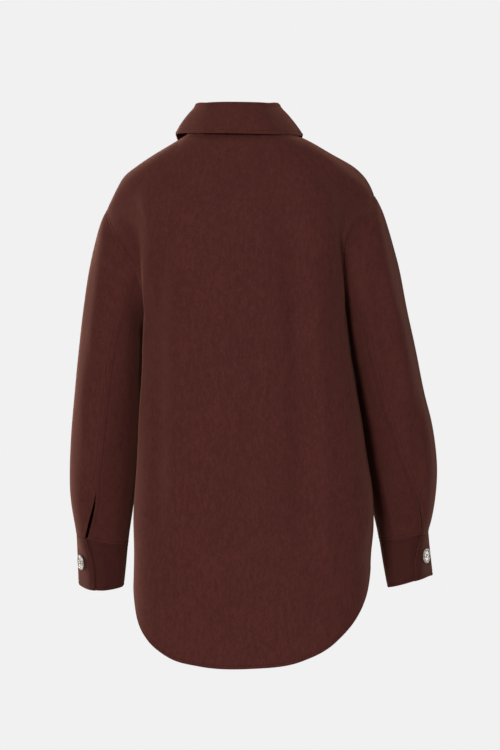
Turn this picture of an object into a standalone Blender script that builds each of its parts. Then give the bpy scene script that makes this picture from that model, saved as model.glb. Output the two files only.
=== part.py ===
"""Shacket in double-faced wool, in its worn shape with nobody in it.

Metres, +Z up. The wearer faces -Y and the wearer's left is +X. The origin is the middle of the neck base,
where the wearer carries the coat. Tables are in millimetres and are turned to metres when a mesh is made.
Every panel is a smooth sheet through a net of points worked out from the tables, closed into a wall.
"""

import math

import bpy
import numpy as np
from mathutils import Vector

MM = 0.001
CLOTH = 2.5                # wall of the double-faced wool
SEAM_INSET = 0.17          # each edge draws back this far, so two pieces are 0.34 apart
INNER_SETBACK = 1.9        # the inside of an edge draws back further, for seams that turn
LAYER_GAP = 0.5            # between layers that lie on each other
UNDERARM = -280.0
BACK_POWER, FRONT_POWER = 2.4, 2.1
BUTTON_STAND = 20.0        # each front runs this far past the centre
VENT_TOP = -560.0
VENT_EASE = 90.0           # height over which a vent opens
VENT_SPREAD = 5.0          # and how far each edge of it stands back
HALF_GIRTH = 480.0
VENT_REACH = 0.1           # share of the panel's width that gives way
HEM_LEVEL = -700.0
SLIT = {"left": 3.3, "right": 1.3}          # degrees that each edge of the slit stands back at its widest
SLIT_TOP = 0.86            # share of the way down the sleeve where the slit starts
SLIT_WAVE = 0.62           # half waves of its opening: widest above the cuff and narrower at it
CUFF_LAP = 26.0            # degrees by which a cuff's end laps over its start
FRONT_BUTTON, CUFF_BUTTON = 10.5, 11.5      # radii
BUTTON_THICK = 3.6
BUTTON_COUNT = 6
BUTTON_TOP, BUTTON_LOW = -118.0, -640.0     # heights of the first and the last front button
BUTTON_LIFT = 0.4          # a flat back stands this far off the highest cloth under it
BUTTON_SIDES = 16
# Half section of a button: shares of its radius and of its thickness, with a rim round a sunk face
BUTTON_SECTION = {
    "radius": [0.0, 0.64, 0.82, 1.0, 1.0, 0.9, 0.0],
    "height": [0.62, 0.62, 1.0, 0.7, 0.3, 0.0, 0.0],
}

# Torso below the underarm: edges seen from behind, depth of the widest place, of the back and of the front
TORSO = {
    "z":      [-800, -720, -660, -615, -558, -515, -480, -430, -385, -330, -280],
    "left":   [156, 158, 159, 159, 158.5, 156, 154.5, 152, 148.5, 147, 144.6],
    "right":  [189, 192, 194.5, 196, 200, 195.5, 191, 183, 176, 167, 160],
    "widest": [50, 48, 47, 46, 46, 46, 46, 47, 48, 49, 50],
    "back":   [128, 126, 124, 123, 121, 119, 118, 117, 117, 120, 123],
    "front":  [-141, -138, -136, -135, -133, -131, -129, -128, -128, -132, -135],
}
# Tail: height of its bottom and of the corner at each side, and how round the corners are
TAIL = {
    "back": {"bottom": -789, "left": (-662, 2.65), "right": (-632, 2.05)},
    "front": {"bottom": -768, "left": (-655, 2.6), "right": (-640, 2.3)},
}
# Armhole, by the turn round the arm: 0 at the shoulder point, 90 at the back, 180 at the underarm
ARMHOLE = {
    "turn":     [0, 30, 60, 90, 120, 150, 180, 210, 240, 270, 300, 330],
    "left_x":   [200, 199, 188, 170, 154, 143, 139, 142, 154, 170, 186, 198],
    "left_y":   [-4, 24, 50, 62, 64, 48, 0, -50, -66, -66, -54, -30],
    "left_z":   [-103, -118, -144, -172, -203, -243, -280, -248, -208, -174, -146, -119],
    "right_x":  [202, 201, 188, 171, 157, 153, 155, 156, 162, 172, 187, 200],
    "right_y":  [-4, 22, 48, 62, 66, 50, 0, -50, -66, -66, -54, -30],
    "right_z":  [-82, -96, -112, -131, -162, -225, -280, -240, -190, -148, -118, -95],
}
# Shoulder seam, from the side of the neck to the shoulder point
SHOULDER = {
    "left_x":  [74, 103, 130, 154, 174, 187, 200],
    "left_z":  [10, -7, -22, -37, -53, -75, -103],
    "right_x": [74, 105, 142, 169, 186, 196, 202],
    "right_z": [11, -2, -22, -37, -52, -67, -82],
}
SHOULDER_Y = -4.0
COLLAR_LEAN = 4.0          # the collar's fold sits this far to the wearer's left
# Neck seam and collar fold, by the share of the way round from the middle of the back to the middle front
NECK = {
    "share":  [0.0, 0.13, 0.25, 0.37, 0.5],
    "seam_x": [0, 49, 74, 57, 0],
    "seam_y": [61, 45, -4, -60, -90],
    "seam_z": [9, 12, 10.5, -24, -70],
    "fold_x": [0, 43, 60, 47, 0],
    "fold_y": [56, 38, -6, -56, -84],
    "fold_z": [46, 46.5, 46, 11, -38],
}
BAND_BULGE = 0.4           # the band rounds out this much half way up
# Outer edge of the collar fall, by the share of the way from the middle of the back to the collar point
FALL_EDGE = {
    "share":   [0.0, 0.3, 0.52, 0.66, 0.8, 1.0],
    "left_x":  [0, 58, 95, 97, 86, 60],
    "left_y":  [79, 66, 20, -22, -72, -121],
    "left_z":  [4.5, 6, 10, 8, -18, -84],
    "right_x": [0, 58, 93, 95, 85, 60],
    "right_y": [79, 66, 22, -20, -72, -121],
    "right_z": [4.5, 5, 7, 8, -18, -84],
}
# Roll of the collar over the band's top: how far out and up from it, and the place across the fall
ROLL = {
    "knot": [0.0, 0.07, 0.14, 0.19, 0.27],
    "out":  [-2.5, -1.9, 0.6, 4.2, 6.6],
    "up":   [0.4, 5.0, 8.2, 7.6, 3.2],
}
FALL_DROP = [0.28, 0.62, 1.0]               # shares of the drop from the roll to the edge
FALL_KNOTS = [0.46, 0.72, 1.0]              # and their places across the fall
FALL_BULGE = 3.0           # how far the fall rounds out on its way down
FALL_END = 0.452           # share round the neck where the fall stops at the front
# Upper back: height at the middle of the back, then the fold beside each sleeve and the hollow outside it
UPPER_BACK = {
    "turn":           [150, 120, 90, 60, 30],
    "middle_y":       [125, 126, 123, 114, 95],
    "middle_z":       [-240, -195, -150, -105, -52],
    "left_ridge_x":   [144, 143.5, 143.5, 145, 157],
    "left_ridge_y":   [76, 88, 90, 85, 60],
    "left_ridge_z":   [-243, -205, -168, -132, -92],
    "left_hollow_x":  [143.5, 147, 151, 157, 176],
    "left_hollow_y":  [60, 72, 75, 71, 46],
    "left_hollow_z":  [-244, -204, -170, -137, -103],
    "right_ridge_x":  [156, 149, 145.5, 142, 148],
    "right_ridge_y":  [76, 88, 90, 86, 60],
    "right_ridge_z":  [-228, -172, -145, -120, -77],
    "right_hollow_x": [154.5, 151, 151.5, 154, 170],
    "right_hollow_y": [62, 74, 75, 70, 46],
    "right_hollow_z": [-226, -166, -140, -117, -86],
}
UPPER_FRONT = {
    "turn":     [210, 240, 270, 300, 330],
    "middle_y": [-136, -134, -129, -121, -108],
    "middle_z": [-248, -214, -180, -148, -115],
}
# Sleeve and cuff rings: centre, half sizes, squareness, turn about the arm, tilt and droop at the back
SLEEVE = {
    "left": {
        "x":      [179.5, 186, 190.5, 194.5, 198.5, 203, 206, 209.5, 209.5],
        "y":      [-8, -13, -18, -22, -27, -32, -37, -41, -44],
        "z":      [-212, -248, -288, -332, -382, -435, -490, -547, -599],
        "wide":   [34, 40.5, 45, 48, 51, 53, 52.5, 47, 39.5],
        "deep":   [68, 68, 66, 64, 62, 60, 57, 49, 40],
        "square": [2.2, 2.3, 2.4, 2.4, 2.4, 2.4, 2.4, 2.6, 2.8],
        "turn":   [0, 0, 0, 0, 0, 0, 0, 1, 4],
        "tilt":   [77, 58, 38, 22, 8, 1, -2, 3, 8],
        "droop":  [0, 0, 0, 0, 0, 0, 0, 2, 6],
    },
    "right": {
        "x":      [189, 199.5, 207.5, 217, 227, 236.5, 244, 246.5, 248.5],
        "y":      [-8, -13, -18, -22, -27, -32, -37, -41, -44],
        "z":      [-204, -246, -290, -337, -388, -435, -490, -545, -595],
        "wide":   [30.5, 37.5, 42.5, 47, 52, 54.5, 54, 48, 37.5],
        "deep":   [68, 68, 66, 64, 62, 60, 57, 49, 40],
        "square": [2.2, 2.3, 2.4, 2.4, 2.4, 2.4, 2.4, 2.6, 2.8],
        "turn":   [0, 0, 0, 0, 0, 0, 0, 1, 4],
        "tilt":   [88, 66, 45, 27, 12, 5, 0, 2, 6],
        "droop":  [0, 0, 0, 0, 0, 0, 0, 2, 4],
    },
}
CUFF = {
    "left":  {"x": [209.5, 210, 211], "y": [-44, -45, -46], "z": [-599, -635, -671], "wide": [39.5, 34, 30],
              "deep": [40, 37, 35], "square": [2.8, 3.0, 3.2], "turn": [4, 21, 27], "tilt": [8, 2, -4],
              "droop": [6, 6, 6]},
    "right": {"x": [248.5, 253, 258.5], "y": [-44, -45, -46], "z": [-595, -630, -666], "wide": [37.5, 33, 30],
              "deep": [40, 37, 35], "square": [2.8, 3.0, 3.2], "turn": [4, 21, 28], "tilt": [6, 7, 8],
              "droop": [4, 4, 4]},
}
# Seams round the sleeve, in degrees, at the armhole and down to the slit
BACK_SEAM = {
    "left": {"at": [0.0, 0.2, 0.34, 0.5, 0.66, 0.81, 0.9, 1.0],
             "turn": [120, 107, 96, 89, 87, 82, 77, 54]},
    "right": {"at": [0.0, 0.2, 0.34, 0.54, 0.66, 0.78, 0.9, 1.0],
              "turn": [120, 113, 109, 104, 97, 85, 62, 46]},
}
FRONT_SEAM = {"at": [0.0, 1.0], "turn": [240, 250]}
CUFF_EDGE = {"left": (54.0, 46.0), "right": (46.0, 49.0)}      # where the lapping end lies, top and bottom
CUFF_BUTTON_TURN = {"left": 13.0, "right": 13.0}
CUFF_BUTTON_DOWN = 0.53    # share of the way down the cuff

WOOL = (0.075, 0.021, 0.018)
HORN = (0.42, 0.40, 0.38)
SIDES = {"left": 1.0, "right": -1.0}


def weights(knots, at, period=None):
    """Weights that read a smooth curve through values at the knots, for each place in at."""
    knots = np.asarray(knots, float)
    count = len(knots)
    if period:
        reach = 3
        order = np.arange(-reach, count + reach)
        long = weights(knots[order % count] + period * (order // count), np.mod(at, period))
        fold = np.zeros((len(order), count))
        fold[np.arange(len(order)), order % count] = 1.0
        return long @ fold
    at = np.asarray(at, float)
    step = np.diff(knots)
    slope = np.diff(np.eye(count), axis=0) / step[:, None]
    pull = np.zeros((count, count))
    both = (step[1:] + step[:-1])[:, None]
    pull[1:-1] = (step[1:, None] * slope[:-1] + step[:-1, None] * slope[1:]) / both
    pull[0] = 1.5 * slope[0] - 0.5 * pull[1]
    pull[-1] = 1.5 * slope[-1] - 0.5 * pull[-2]
    span = np.clip(np.searchsorted(knots, at, side="right") - 1, 0, count - 2)
    f = (at - knots[span]) / step[span]
    width = step[span][..., None]
    f = f[..., None]
    ident = np.eye(count)
    return ((2 * f**3 - 3 * f**2 + 1) * ident[span] + (f**3 - 2 * f**2 + f) * width * pull[span]
            + (3 * f**2 - 2 * f**3) * ident[span + 1] + (f**3 - f**2) * width * pull[span + 1])


def read(table, keys, by, at, period=None):
    """Smooth values of some columns of a table at places along another column."""
    columns = np.stack([np.asarray(table[k], float) for k in keys], axis=-1)
    return weights(table[by], at, period) @ columns


def torso_point(z, side, turn):
    """Point of the torso ring at a height: turn is 90 at the middle of the back, -90 at the middle front."""
    left, right, widest, back, front = read(TORSO, ("left", "right", "widest", "back", "front"), "z", z)
    half, middle = (left + right) / 2, (left - right) / 2
    power, reach = (BACK_POWER, back) if turn > 0 else (FRONT_POWER, front)
    c, s = abs(math.cos(math.radians(turn))), abs(math.sin(math.radians(turn)))
    x = middle + side * half * (c ** (2 / power) if abs(turn) < 90 else 0.0)
    return np.array([x, widest + (reach - widest) * s ** (2 / power), z])


def front_middle_point(z, side):
    """Point of the front beside the middle, at the edge of the button stand."""
    left, right = read(TORSO, ("left", "right"), "z", z)
    share = (BUTTON_STAND / ((left + right) / 2)) ** (FRONT_POWER / 2)
    return torso_point(z, side, -math.degrees(math.acos(share)))


def armhole(side, turn):
    """Points of the armhole seam at turns round the arm."""
    name = "left" if side > 0 else "right"
    p = read(ARMHOLE, (name + "_x", name + "_y", name + "_z"), "turn", turn, 360.0)
    return p * np.array([side, 1.0, 1.0])


def shoulder(side, share):
    """Points of the shoulder seam, share 0 at the neck and 1 at the armhole."""
    name = "left" if side > 0 else "right"
    p = weights(np.linspace(0, 1, len(SHOULDER["left_x"])), share) @ np.stack(
        [side * np.asarray(SHOULDER[name + "_x"], float), np.asarray(SHOULDER[name + "_z"], float)], axis=-1)
    return np.stack([p[..., 0], np.full(p.shape[:-1], SHOULDER_Y), p[..., 1]], axis=-1)


def neck(kind, share):
    """Points of the neck seam or collar fold, share 0 at the back, 0.5 in front and 1 at the back again."""
    x, y, z = (np.asarray(NECK[kind + axis], float) for axis in ("_x", "_y", "_z"))
    ring = {"share": NECK["share"] + [1 - s for s in NECK["share"][-2:0:-1]]}
    ring["x"] = np.concatenate([x, -x[-2:0:-1]])
    ring["y"], ring["z"] = np.concatenate([y, y[-2:0:-1]]), np.concatenate([z, z[-2:0:-1]])
    lean = np.array([COLLAR_LEAN if kind == "fold" else 0.0, 0.0, 0.0])
    return read(ring, ("x", "y", "z"), "share", share, 1.0) + lean


# The armhole's lowest point lies on the torso, at the side seam
UNDERARM_TURN = -15.0
for side_name, side_sign in SIDES.items():
    seam_end = torso_point(UNDERARM, side_sign, UNDERARM_TURN)
    lowest = ARMHOLE["turn"].index(180)
    ARMHOLE[side_name + "_x"][lowest], ARMHOLE[side_name + "_y"][lowest] = abs(seam_end[0]), seam_end[1]

# Columns of the panels' nets, by the turn round the torso, and their rows, by the share of the way up
BACK_TURNS = [UNDERARM_TURN, -6, 4, 16, 30, 48, 68]
FRONT_TURNS = [UNDERARM_TURN, -30, -45, -60, -74]
LOWER_SHARES = [0.0, 0.07, 0.17, 0.30, 0.46, 0.63, 0.80, 0.92, 1.0]
LOWER_PART = 0.62
UPPER_KNOTS = [0.675, 0.73, 0.785, 0.84, 0.90]
CREST_SPREAD = 0.7         # how far the crest keeps the width of the row below it
CREST = [(45.0, 0.94, 15.0), (75.0, 0.975, 5.0)]       # turn over the crest, knot, turn round the arm
UP_KNOTS = [LOWER_PART * s for s in LOWER_SHARES] + UPPER_KNOTS + [c[1] for c in CREST] + [1.0]
ARM_TURNS = [180.0, 150.0, 120.0, 90.0, 60.0, 30.0] + [c[2] for c in CREST] + [0.0]
ARM_KNOTS = UP_KNOTS[len(LOWER_SHARES) - 1:]
BACK_HALF = [0.0, 0.11, 0.19, 0.27, 0.37, 0.50, 0.70, 1.0]
FRONT_HALF = [0.0, 0.20, 0.38, 0.58, 0.76, 0.90, 1.0]
BACK_KNOTS = [s / 2 for s in BACK_HALF] + [1 - s / 2 for s in BACK_HALF[-2::-1]]
FRONT_KNOTS = [s / 2 for s in FRONT_HALF] + [1 - s / 2 for s in FRONT_HALF[-2::-1]]
BACK_SEAM_SHARES = [1.0, 0.9, 0.77, 0.62, 0.30, 0.0]   # shoulder shares at the columns from edge to neck
FRONT_SEAM_SHARES = [1.0, 0.62, 0.30, 0.0]


# Places where pieces meet: shares along the shoulder seam, and round the neck from the middle of the back
SHOULDER_STATIONS = [1.0, 0.9, 0.77, 0.62, 0.46, 0.30, 0.15]
BACK_NECK_STATIONS = [0.25, 0.21, 0.17, 0.13, 0.087, 0.043, 0.0]
FRONT_NECK_STATIONS = [0.25, 0.29, 0.33, 0.37, 0.415, 0.46, 0.5, 0.54]
FRONT_NECK = [0.25, 0.37, 0.46, 0.5]
BACK_NECK = [0.0, 0.13, 0.25]


def shoulder_places(shares, knots):
    """Places across a net that meet the stations of the shoulder seam."""
    return np.interp(SHOULDER_STATIONS, shares[::-1], knots[:len(shares)][::-1])


def front_place(q):
    """Place across the front's net for a signed share round the neck; past 0.5 it is on the other side."""
    a = np.abs(q)
    inner = np.interp(np.minimum(a, 1 - a), FRONT_NECK, FRONT_KNOTS[3:7])
    return np.where((q > 0) == (a <= 0.5), inner, 1 - inner)


def back_place(q):
    """Place across the back's net for a signed share round the neck."""
    inner = np.interp(np.abs(q), BACK_NECK, BACK_KNOTS[7:4:-1])
    return np.where(q > 0, inner, 1 - inner)


def lap_over(q):
    """How far the right side has stepped out over the left: 1 where they lap, 0 past the ease."""
    far = np.clip((q + 0.46) / 0.09, 0, 1)
    return 1 - far**2 * (3 - 2 * far)


def hem_height(which, side, x):
    """Height of the tail under a point: flat in the middle, with a round corner at the side."""
    middle = torso_point(HEM_LEVEL, side, 90.0)[0]
    widest = torso_point(HEM_LEVEL, side, 0.0 if which == "back" else UNDERARM_TURN)[0]
    corner, power = TAIL[which]["left" if side > 0 else "right"]
    share = min(1.0, abs((x - middle) / (widest - middle)))
    return corner + (TAIL[which]["bottom"] - corner) * (1 - share**power) ** (1 / power)


def lower_column(which, side, turn):
    """Column of net points from the tail up to the underarm level."""
    point = front_middle_point if turn is None else torso_point
    more = (side,) if turn is None else (side, turn)
    past_side = which == "back" and turn is not None and turn < 0
    hem_x = torso_point(HEM_LEVEL, side, 0.0)[0] if past_side else point(HEM_LEVEL, *more)[0]
    bottom = hem_height(which, side, hem_x)
    return [point(bottom + (UNDERARM - bottom) * share, *more) for share in LOWER_SHARES]


def over_crest(low, top, turn):
    """Point between a row and the edge above it, on a quarter round that ends level."""
    s, c = math.cos(math.radians(turn)), math.sin(math.radians(turn))
    return top + (low - top) * np.array([CREST_SPREAD * s, s, 1 - c])


def back_columns(side):
    """Half of the back's net, from the side seam and armhole to the column beside the middle."""
    name = "left" if side > 0 else "right"
    columns = [lower_column("back", side, t) for t in BACK_TURNS]
    rows = []
    for k, turn in enumerate(UPPER_BACK["turn"]):
        edge = armhole(side, turn)
        ridge, hollow = (np.array([UPPER_BACK[f"{name}_{what}_{axis}"][k] for axis in "xyz"])
                         * np.array([side, 1, 1]) for what in ("ridge", "hollow"))
        middle = np.array([0.0, UPPER_BACK["middle_y"][k], UPPER_BACK["middle_z"][k]])
        row = [edge, (edge + hollow) / 2 + np.array([0.0, 1.5, 0.0]), hollow, ridge]
        start = math.radians(BACK_TURNS[3])
        for t in BACK_TURNS[4:]:
            across = (math.cos(math.radians(t)) / math.cos(start)) ** (2 / BACK_POWER)
            deep = (math.sin(math.radians(t)) ** (2 / BACK_POWER) - math.sin(start) ** (2 / BACK_POWER)) \
                / (1 - math.sin(start) ** (2 / BACK_POWER))
            row.append(np.array([ridge[0] * across, ridge[1] + (middle[1] - ridge[1]) * deep,
                                 middle[2] + (ridge[2] - middle[2]) * across**1.6]))
        rows.append(row)
    top = [shoulder(side, s) for s in BACK_SEAM_SHARES] + [neck("seam", 0.13 if side > 0 else 0.87)]
    return finish_columns(columns, rows, top, side, 1.0)


def front_columns(side):
    """Half of the front's net, from the side seam and armhole to the column beside the middle."""
    columns = [lower_column("front", side, t) for t in FRONT_TURNS + [None]]
    rows = []
    for k, turn in enumerate(UPPER_FRONT["turn"]):
        edge = armhole(side, turn)
        middle = np.array([0.0, UPPER_FRONT["middle_y"][k], UPPER_FRONT["middle_z"][k]])
        row = []
        for t in FRONT_TURNS + [None]:
            if t is None:
                across = BUTTON_STAND / abs(edge[0])
                deep = (1 - across**FRONT_POWER) ** (1 / FRONT_POWER)
            else:
                across = math.cos(math.radians(t)) / math.cos(math.radians(UNDERARM_TURN))
                across **= 2 / FRONT_POWER
                start = math.sin(math.radians(-UNDERARM_TURN)) ** (2 / FRONT_POWER)
                deep = (math.sin(math.radians(-t)) ** (2 / FRONT_POWER) - start) / (1 - start)
            row.append(np.array([edge[0] * across, edge[1] + (middle[1] - edge[1]) * deep,
                                 middle[2] + (edge[2] - middle[2]) * across**1.5]))
        rows.append(row)
    share = 0.37 if side > 0 else 0.63
    near = 0.46 if side > 0 else 0.54
    top = [shoulder(side, s) for s in FRONT_SEAM_SHARES] + [neck("seam", share), neck("seam", near)]
    return finish_columns(columns, rows, top, side, -1.0)


def finish_columns(columns, rows, top, side, facing):
    """Adds the upper rows, the rows over the crest and the top edge to the lower columns."""
    for k, column in enumerate(columns):
        column.extend(row[k] for row in rows)
        for turn, _, arm_turn in CREST:
            on_edge = armhole(side, arm_turn if facing > 0 else -arm_turn)
            column.append(on_edge if k == 0 else over_crest(rows[-1][k], top[k], turn))
        column.append(top[k])
    return columns


def middle_column(which):
    """Net column down the middle of the back or front."""
    turn = 90 if which == "back" else -90
    table = UPPER_BACK if which == "back" else UPPER_FRONT
    column = lower_column(which, 1.0, turn)
    column += [np.array([0.0, y, z]) for y, z in zip(table["middle_y"], table["middle_z"])]
    top = neck("seam", 0.0 if which == "back" else 0.5)
    column += [over_crest(column[-1], top, turn) for turn, _, _ in CREST]
    return column + [top]


def net(which):
    """Whole net of the back or front, columns from the wearer's left edge to the right edge."""
    half = back_columns if which == "back" else front_columns
    columns = half(1.0) + [middle_column(which)] + half(-1.0)[::-1]
    return np.array(columns).transpose(1, 0, 2)


NETS = {"back": (BACK_KNOTS, net("back")), "front": (FRONT_KNOTS, net("front"))}


def top_edge(which, s):
    """Exact top edge of the back or front: shoulder seam, neck seam, shoulder seam."""
    knots, shares = (BACK_KNOTS, BACK_SEAM_SHARES) if which == "back" else (FRONT_KNOTS, FRONT_SEAM_SHARES)
    side = np.where(s <= 0.5, 1.0, -1.0)
    inner = np.where(s <= 0.5, s, 1 - s)
    neck_at = knots[len(shares) - 1]
    along = np.interp(inner, knots[:len(shares)], shares)
    round_neck = np.interp(inner, knots[len(shares) - 1:len(knots) // 2 + 1],
                           BACK_NECK[::-1] if which == "back" else FRONT_NECK)
    ring = np.where(side > 0, round_neck, 1 - round_neck)
    on_shoulder = np.where((side > 0)[:, None], shoulder(1.0, along), shoulder(-1.0, along))
    return np.where((inner < neck_at)[:, None], on_shoulder, neck("seam", ring))


def body(which, s, t):
    """Grid of points of the back or front: s across (rows may differ), t up from the tail to the neck."""
    knots, points = NETS[which]
    t = np.asarray(t, float)
    s = np.broadcast_to(s, (len(t), np.shape(s)[-1]))
    grid = np.einsum("tr,rcx,tsc->tsx", weights(UP_KNOTS, t), points, weights(knots, s))
    fade = np.clip((t - UPPER_KNOTS[-1]) / (1 - UPPER_KNOTS[-1]), 0, 1)[:, None, None] ** 2
    base = np.einsum("rcx,sc->rsx", points[-1:], weights(knots, s[-1]))[0]
    grid = grid + fade * (top_edge(which, s[-1]) - base)
    upper = t >= LOWER_PART
    arm = np.interp(t, ARM_KNOTS, ARM_TURNS)
    for side, edge in ((1.0, 0.0), (-1.0, 1.0)):
        near = np.clip(1 - np.abs(s - edge) / 0.2, 0, 1)[..., None] ** 2
        exact = armhole(side, arm if which == "back" else 360.0 - arm)
        plain = np.einsum("tr,rcx,c->tx", weights(UP_KNOTS, t), points, weights(knots, [edge])[0])
        top_fix = fade[:, 0] * (top_edge(which, np.array([edge])) - points[-1, 0 if side > 0 else -1])
        grid = grid + near * (upper[:, None] * (exact - plain - top_fix))[:, None, :]
    return grid


def ring_points(table, side, at, turn):
    """Points round a sleeve or cuff: a squarish round, turned about the arm, tilted, drooping at the back."""
    keys = ("x", "y", "z", "wide", "deep", "square", "turn", "tilt", "droop")
    where = dict(table, at=np.linspace(0, 1, len(table["x"])))
    rows = np.moveaxis(read(where, keys, "at", at), -1, 0)
    x, y, z, wide, deep, square, lean, tilt, droop = rows[..., None]
    a, lean = np.radians(turn), np.radians(lean)
    c, s = np.cos(a), np.sin(a)
    round_off = (np.abs(c) ** square + np.abs(s) ** square) ** (-1 / square)
    across, back = wide * c * round_off, deep * s * round_off
    return np.stack([side * (x + across * np.cos(lean) - back * np.sin(lean)),
                     y + across * np.sin(lean) + back * np.cos(lean), z + tilt * c - droop * s], axis=-1)


SLEEVE_KNOTS = [0.0, 0.13, 0.23, 0.33, 0.43, 0.54, 0.66, 0.78, 0.90, 1.0]
RING_TURNS = np.arange(0.0, 360.0, 15.0)


def sleeve(side, turn, t):
    """Grid of points of a sleeve: turn round the arm (rows may differ), t from armhole to cuff seam."""
    table = SLEEVE["left" if side > 0 else "right"]
    rings = [armhole(side, RING_TURNS)]
    count = len(table["x"])
    rings += [ring_points(table, side, np.array([k / (count - 1)]), RING_TURNS)[0] for k in range(count)]
    turn = np.broadcast_to(turn, (len(t), np.shape(turn)[-1]))
    grid = np.einsum("tr,rcx,tsc->tsx", weights(SLEEVE_KNOTS, t), np.array(rings),
                     weights(RING_TURNS, turn, 360.0))
    rim = np.einsum("cx,tsc->tsx", rings[0], weights(RING_TURNS, turn, 360.0))
    fade = np.clip(1 - np.asarray(t) / SLEEVE_KNOTS[2], 0, 1)[:, None, None] ** 2
    return grid + fade * (armhole(side, turn) - rim)


def normals(grid):
    """Unit normals of a grid, pointing away from the middle of each row."""
    n = np.cross(np.gradient(grid, axis=1), np.gradient(grid, axis=0))
    n /= np.linalg.norm(n, axis=-1, keepdims=True)
    away = grid - grid.mean(axis=1, keepdims=True)
    return n if (n * away).sum() > 0 else -n


def draw_in(points, borders, by):
    """Moves the named borders of a grid towards their neighbours."""
    points = points.copy()
    for name in borders:
        row = {"low": (0, 1), "high": (-1, -2)}.get(name)
        grid = points if row else points.transpose(1, 0, 2)
        end, neighbour = row or {"start": (0, 1), "end": (-1, -2)}[name]
        step = grid[neighbour] - grid[end]
        grid[end] += step / np.linalg.norm(step, axis=-1, keepdims=True) * by
    return points


def wall(name, grid, material, seams=("low", "high", "start", "end"), out=None):
    """Closed wall: the grid is its outer face, and the inner face lies one thickness inside it."""
    n = normals(grid)
    if out is not None and (n * out).sum() < 0:
        n = -n
    inner = draw_in(grid - n * CLOTH, seams, INNER_SETBACK)
    outer = draw_in(grid, seams, SEAM_INSET)
    rows, columns = grid.shape[:2]
    size = rows * columns
    points = np.concatenate([outer.reshape(-1, 3), inner.reshape(-1, 3)]) * MM
    index = np.arange(size).reshape(rows, columns)
    a, b, c, d = index[:-1, :-1], index[:-1, 1:], index[1:, 1:], index[1:, :-1]
    faces = [np.stack([a, b, c, d], axis=-1).reshape(-1, 4)]
    faces.append(faces[0][:, ::-1] + size)
    for line in (index[0][::-1], index[-1], index[:, 0], index[::-1, -1]):
        faces.append(np.stack([line[:-1], line[1:], line[1:] + size, line[:-1] + size], axis=-1))
    return add_mesh(name, points, np.concatenate(faces), material)


def add_mesh(name, points, faces, material):
    """Object from points and faces, with its faces turned outwards."""
    mesh = bpy.data.meshes.new(name)
    mesh.from_pydata(points.tolist(), [], faces.tolist())
    if signed_volume(points, faces) < 0:
        mesh.flip_normals()
    mesh.shade_smooth()
    mesh.set_sharp_from_angle(angle=math.radians(50))
    mesh.materials.append(material)
    thing = bpy.data.objects.new(name, mesh)
    garment.objects.link(thing)
    return thing


def signed_volume(points, faces):
    """Volume inside four-cornered faces, negative when they point inwards."""
    p = points[faces]
    return sum(np.einsum("ij,ij->", p[:, 0], np.cross(p[:, k], p[:, k + 1])) for k in (1, 2)) / 6


def make_material(name, colour, rough):
    """Plain surface of one colour."""
    material = bpy.data.materials.new(name)
    material.use_nodes = True
    shader = material.node_tree.nodes["Principled BSDF"]
    shader.inputs["Base Color"].default_value = (*colour, 1.0)
    shader.inputs["Roughness"].default_value = rough
    shader.inputs["Metallic"].default_value = 0.0
    return material


def spaced(knots, per_span):
    """Grid places: each span between two knots is cut into its own number of steps."""
    places = [np.linspace(a, b, n, endpoint=False) for a, b, n in zip(knots[:-1], knots[1:], per_span)]
    return np.append(np.concatenate(places), knots[-1])


def vent_rows(t, s, which):
    """Across places for each row, drawn in at the side seams where the vents open."""
    z = body(which, np.array([0.0, 1.0]), t)[:, 0, 2]
    open_by = np.clip((VENT_TOP - z) / VENT_EASE, 0, 1)
    spread = VENT_SPREAD * (open_by**2 * (3 - 2 * open_by)) / HALF_GIRTH
    shrink = spread[:, None] * (1 - np.clip(np.minimum(s, 1 - s) / VENT_REACH, 0, 1))
    return s + np.where(s < 0.5, shrink, -shrink)


UP_STEPS = [1, 1, 2, 2, 2, 2, 2, 1] + [2, 2, 2, 2, 2] + [1, 1, 1]
ARM_STATIONS = np.interp(spaced(ARM_KNOTS, UP_STEPS[len(LOWER_SHARES) - 1:]), ARM_KNOTS, ARM_TURNS)
ARM_STATIONS = sorted(set(ARM_STATIONS.tolist()) | set((360.0 - ARM_STATIONS)[:-1].tolist()))


def build_back():
    t = spaced(UP_KNOTS, UP_STEPS)
    on_shoulder = shoulder_places(BACK_SEAM_SHARES, BACK_KNOTS)
    on_neck = back_place(np.array(BACK_NECK_STATIONS))
    half = np.concatenate([on_shoulder, on_neck])
    s = np.concatenate([half, 1 - half[-2::-1]])
    wall("back", body("back", vent_rows(t, s, "back"), t), wool)


def front_grid(side_name, t):
    """Grid of one front, from its side seam past the middle; the right one steps out over the left."""
    sign = SIDES[side_name]
    on_neck = front_place(sign * np.array(FRONT_NECK_STATIONS))
    on_shoulder = shoulder_places(FRONT_SEAM_SHARES, FRONT_KNOTS)
    s = np.concatenate([on_shoulder if sign > 0 else 1 - on_shoulder, on_neck])
    grid = body("front", vent_rows(t, s, "front"), t)
    if sign < 0:
        q = -np.interp(1 - s, [FRONT_KNOTS[k] for k in (3, 4, 5, 6, 7)], [0.25, 0.37, 0.46, 0.5, 0.54])
        grid = grid + normals(grid) * ((CLOTH + LAYER_GAP) * lap_over(q))[None, :, None]
    return grid


def build_fronts():
    t = spaced(UP_KNOTS, UP_STEPS)
    for name in SIDES:
        wall("front_" + name, front_grid(name, t), wool)


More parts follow.
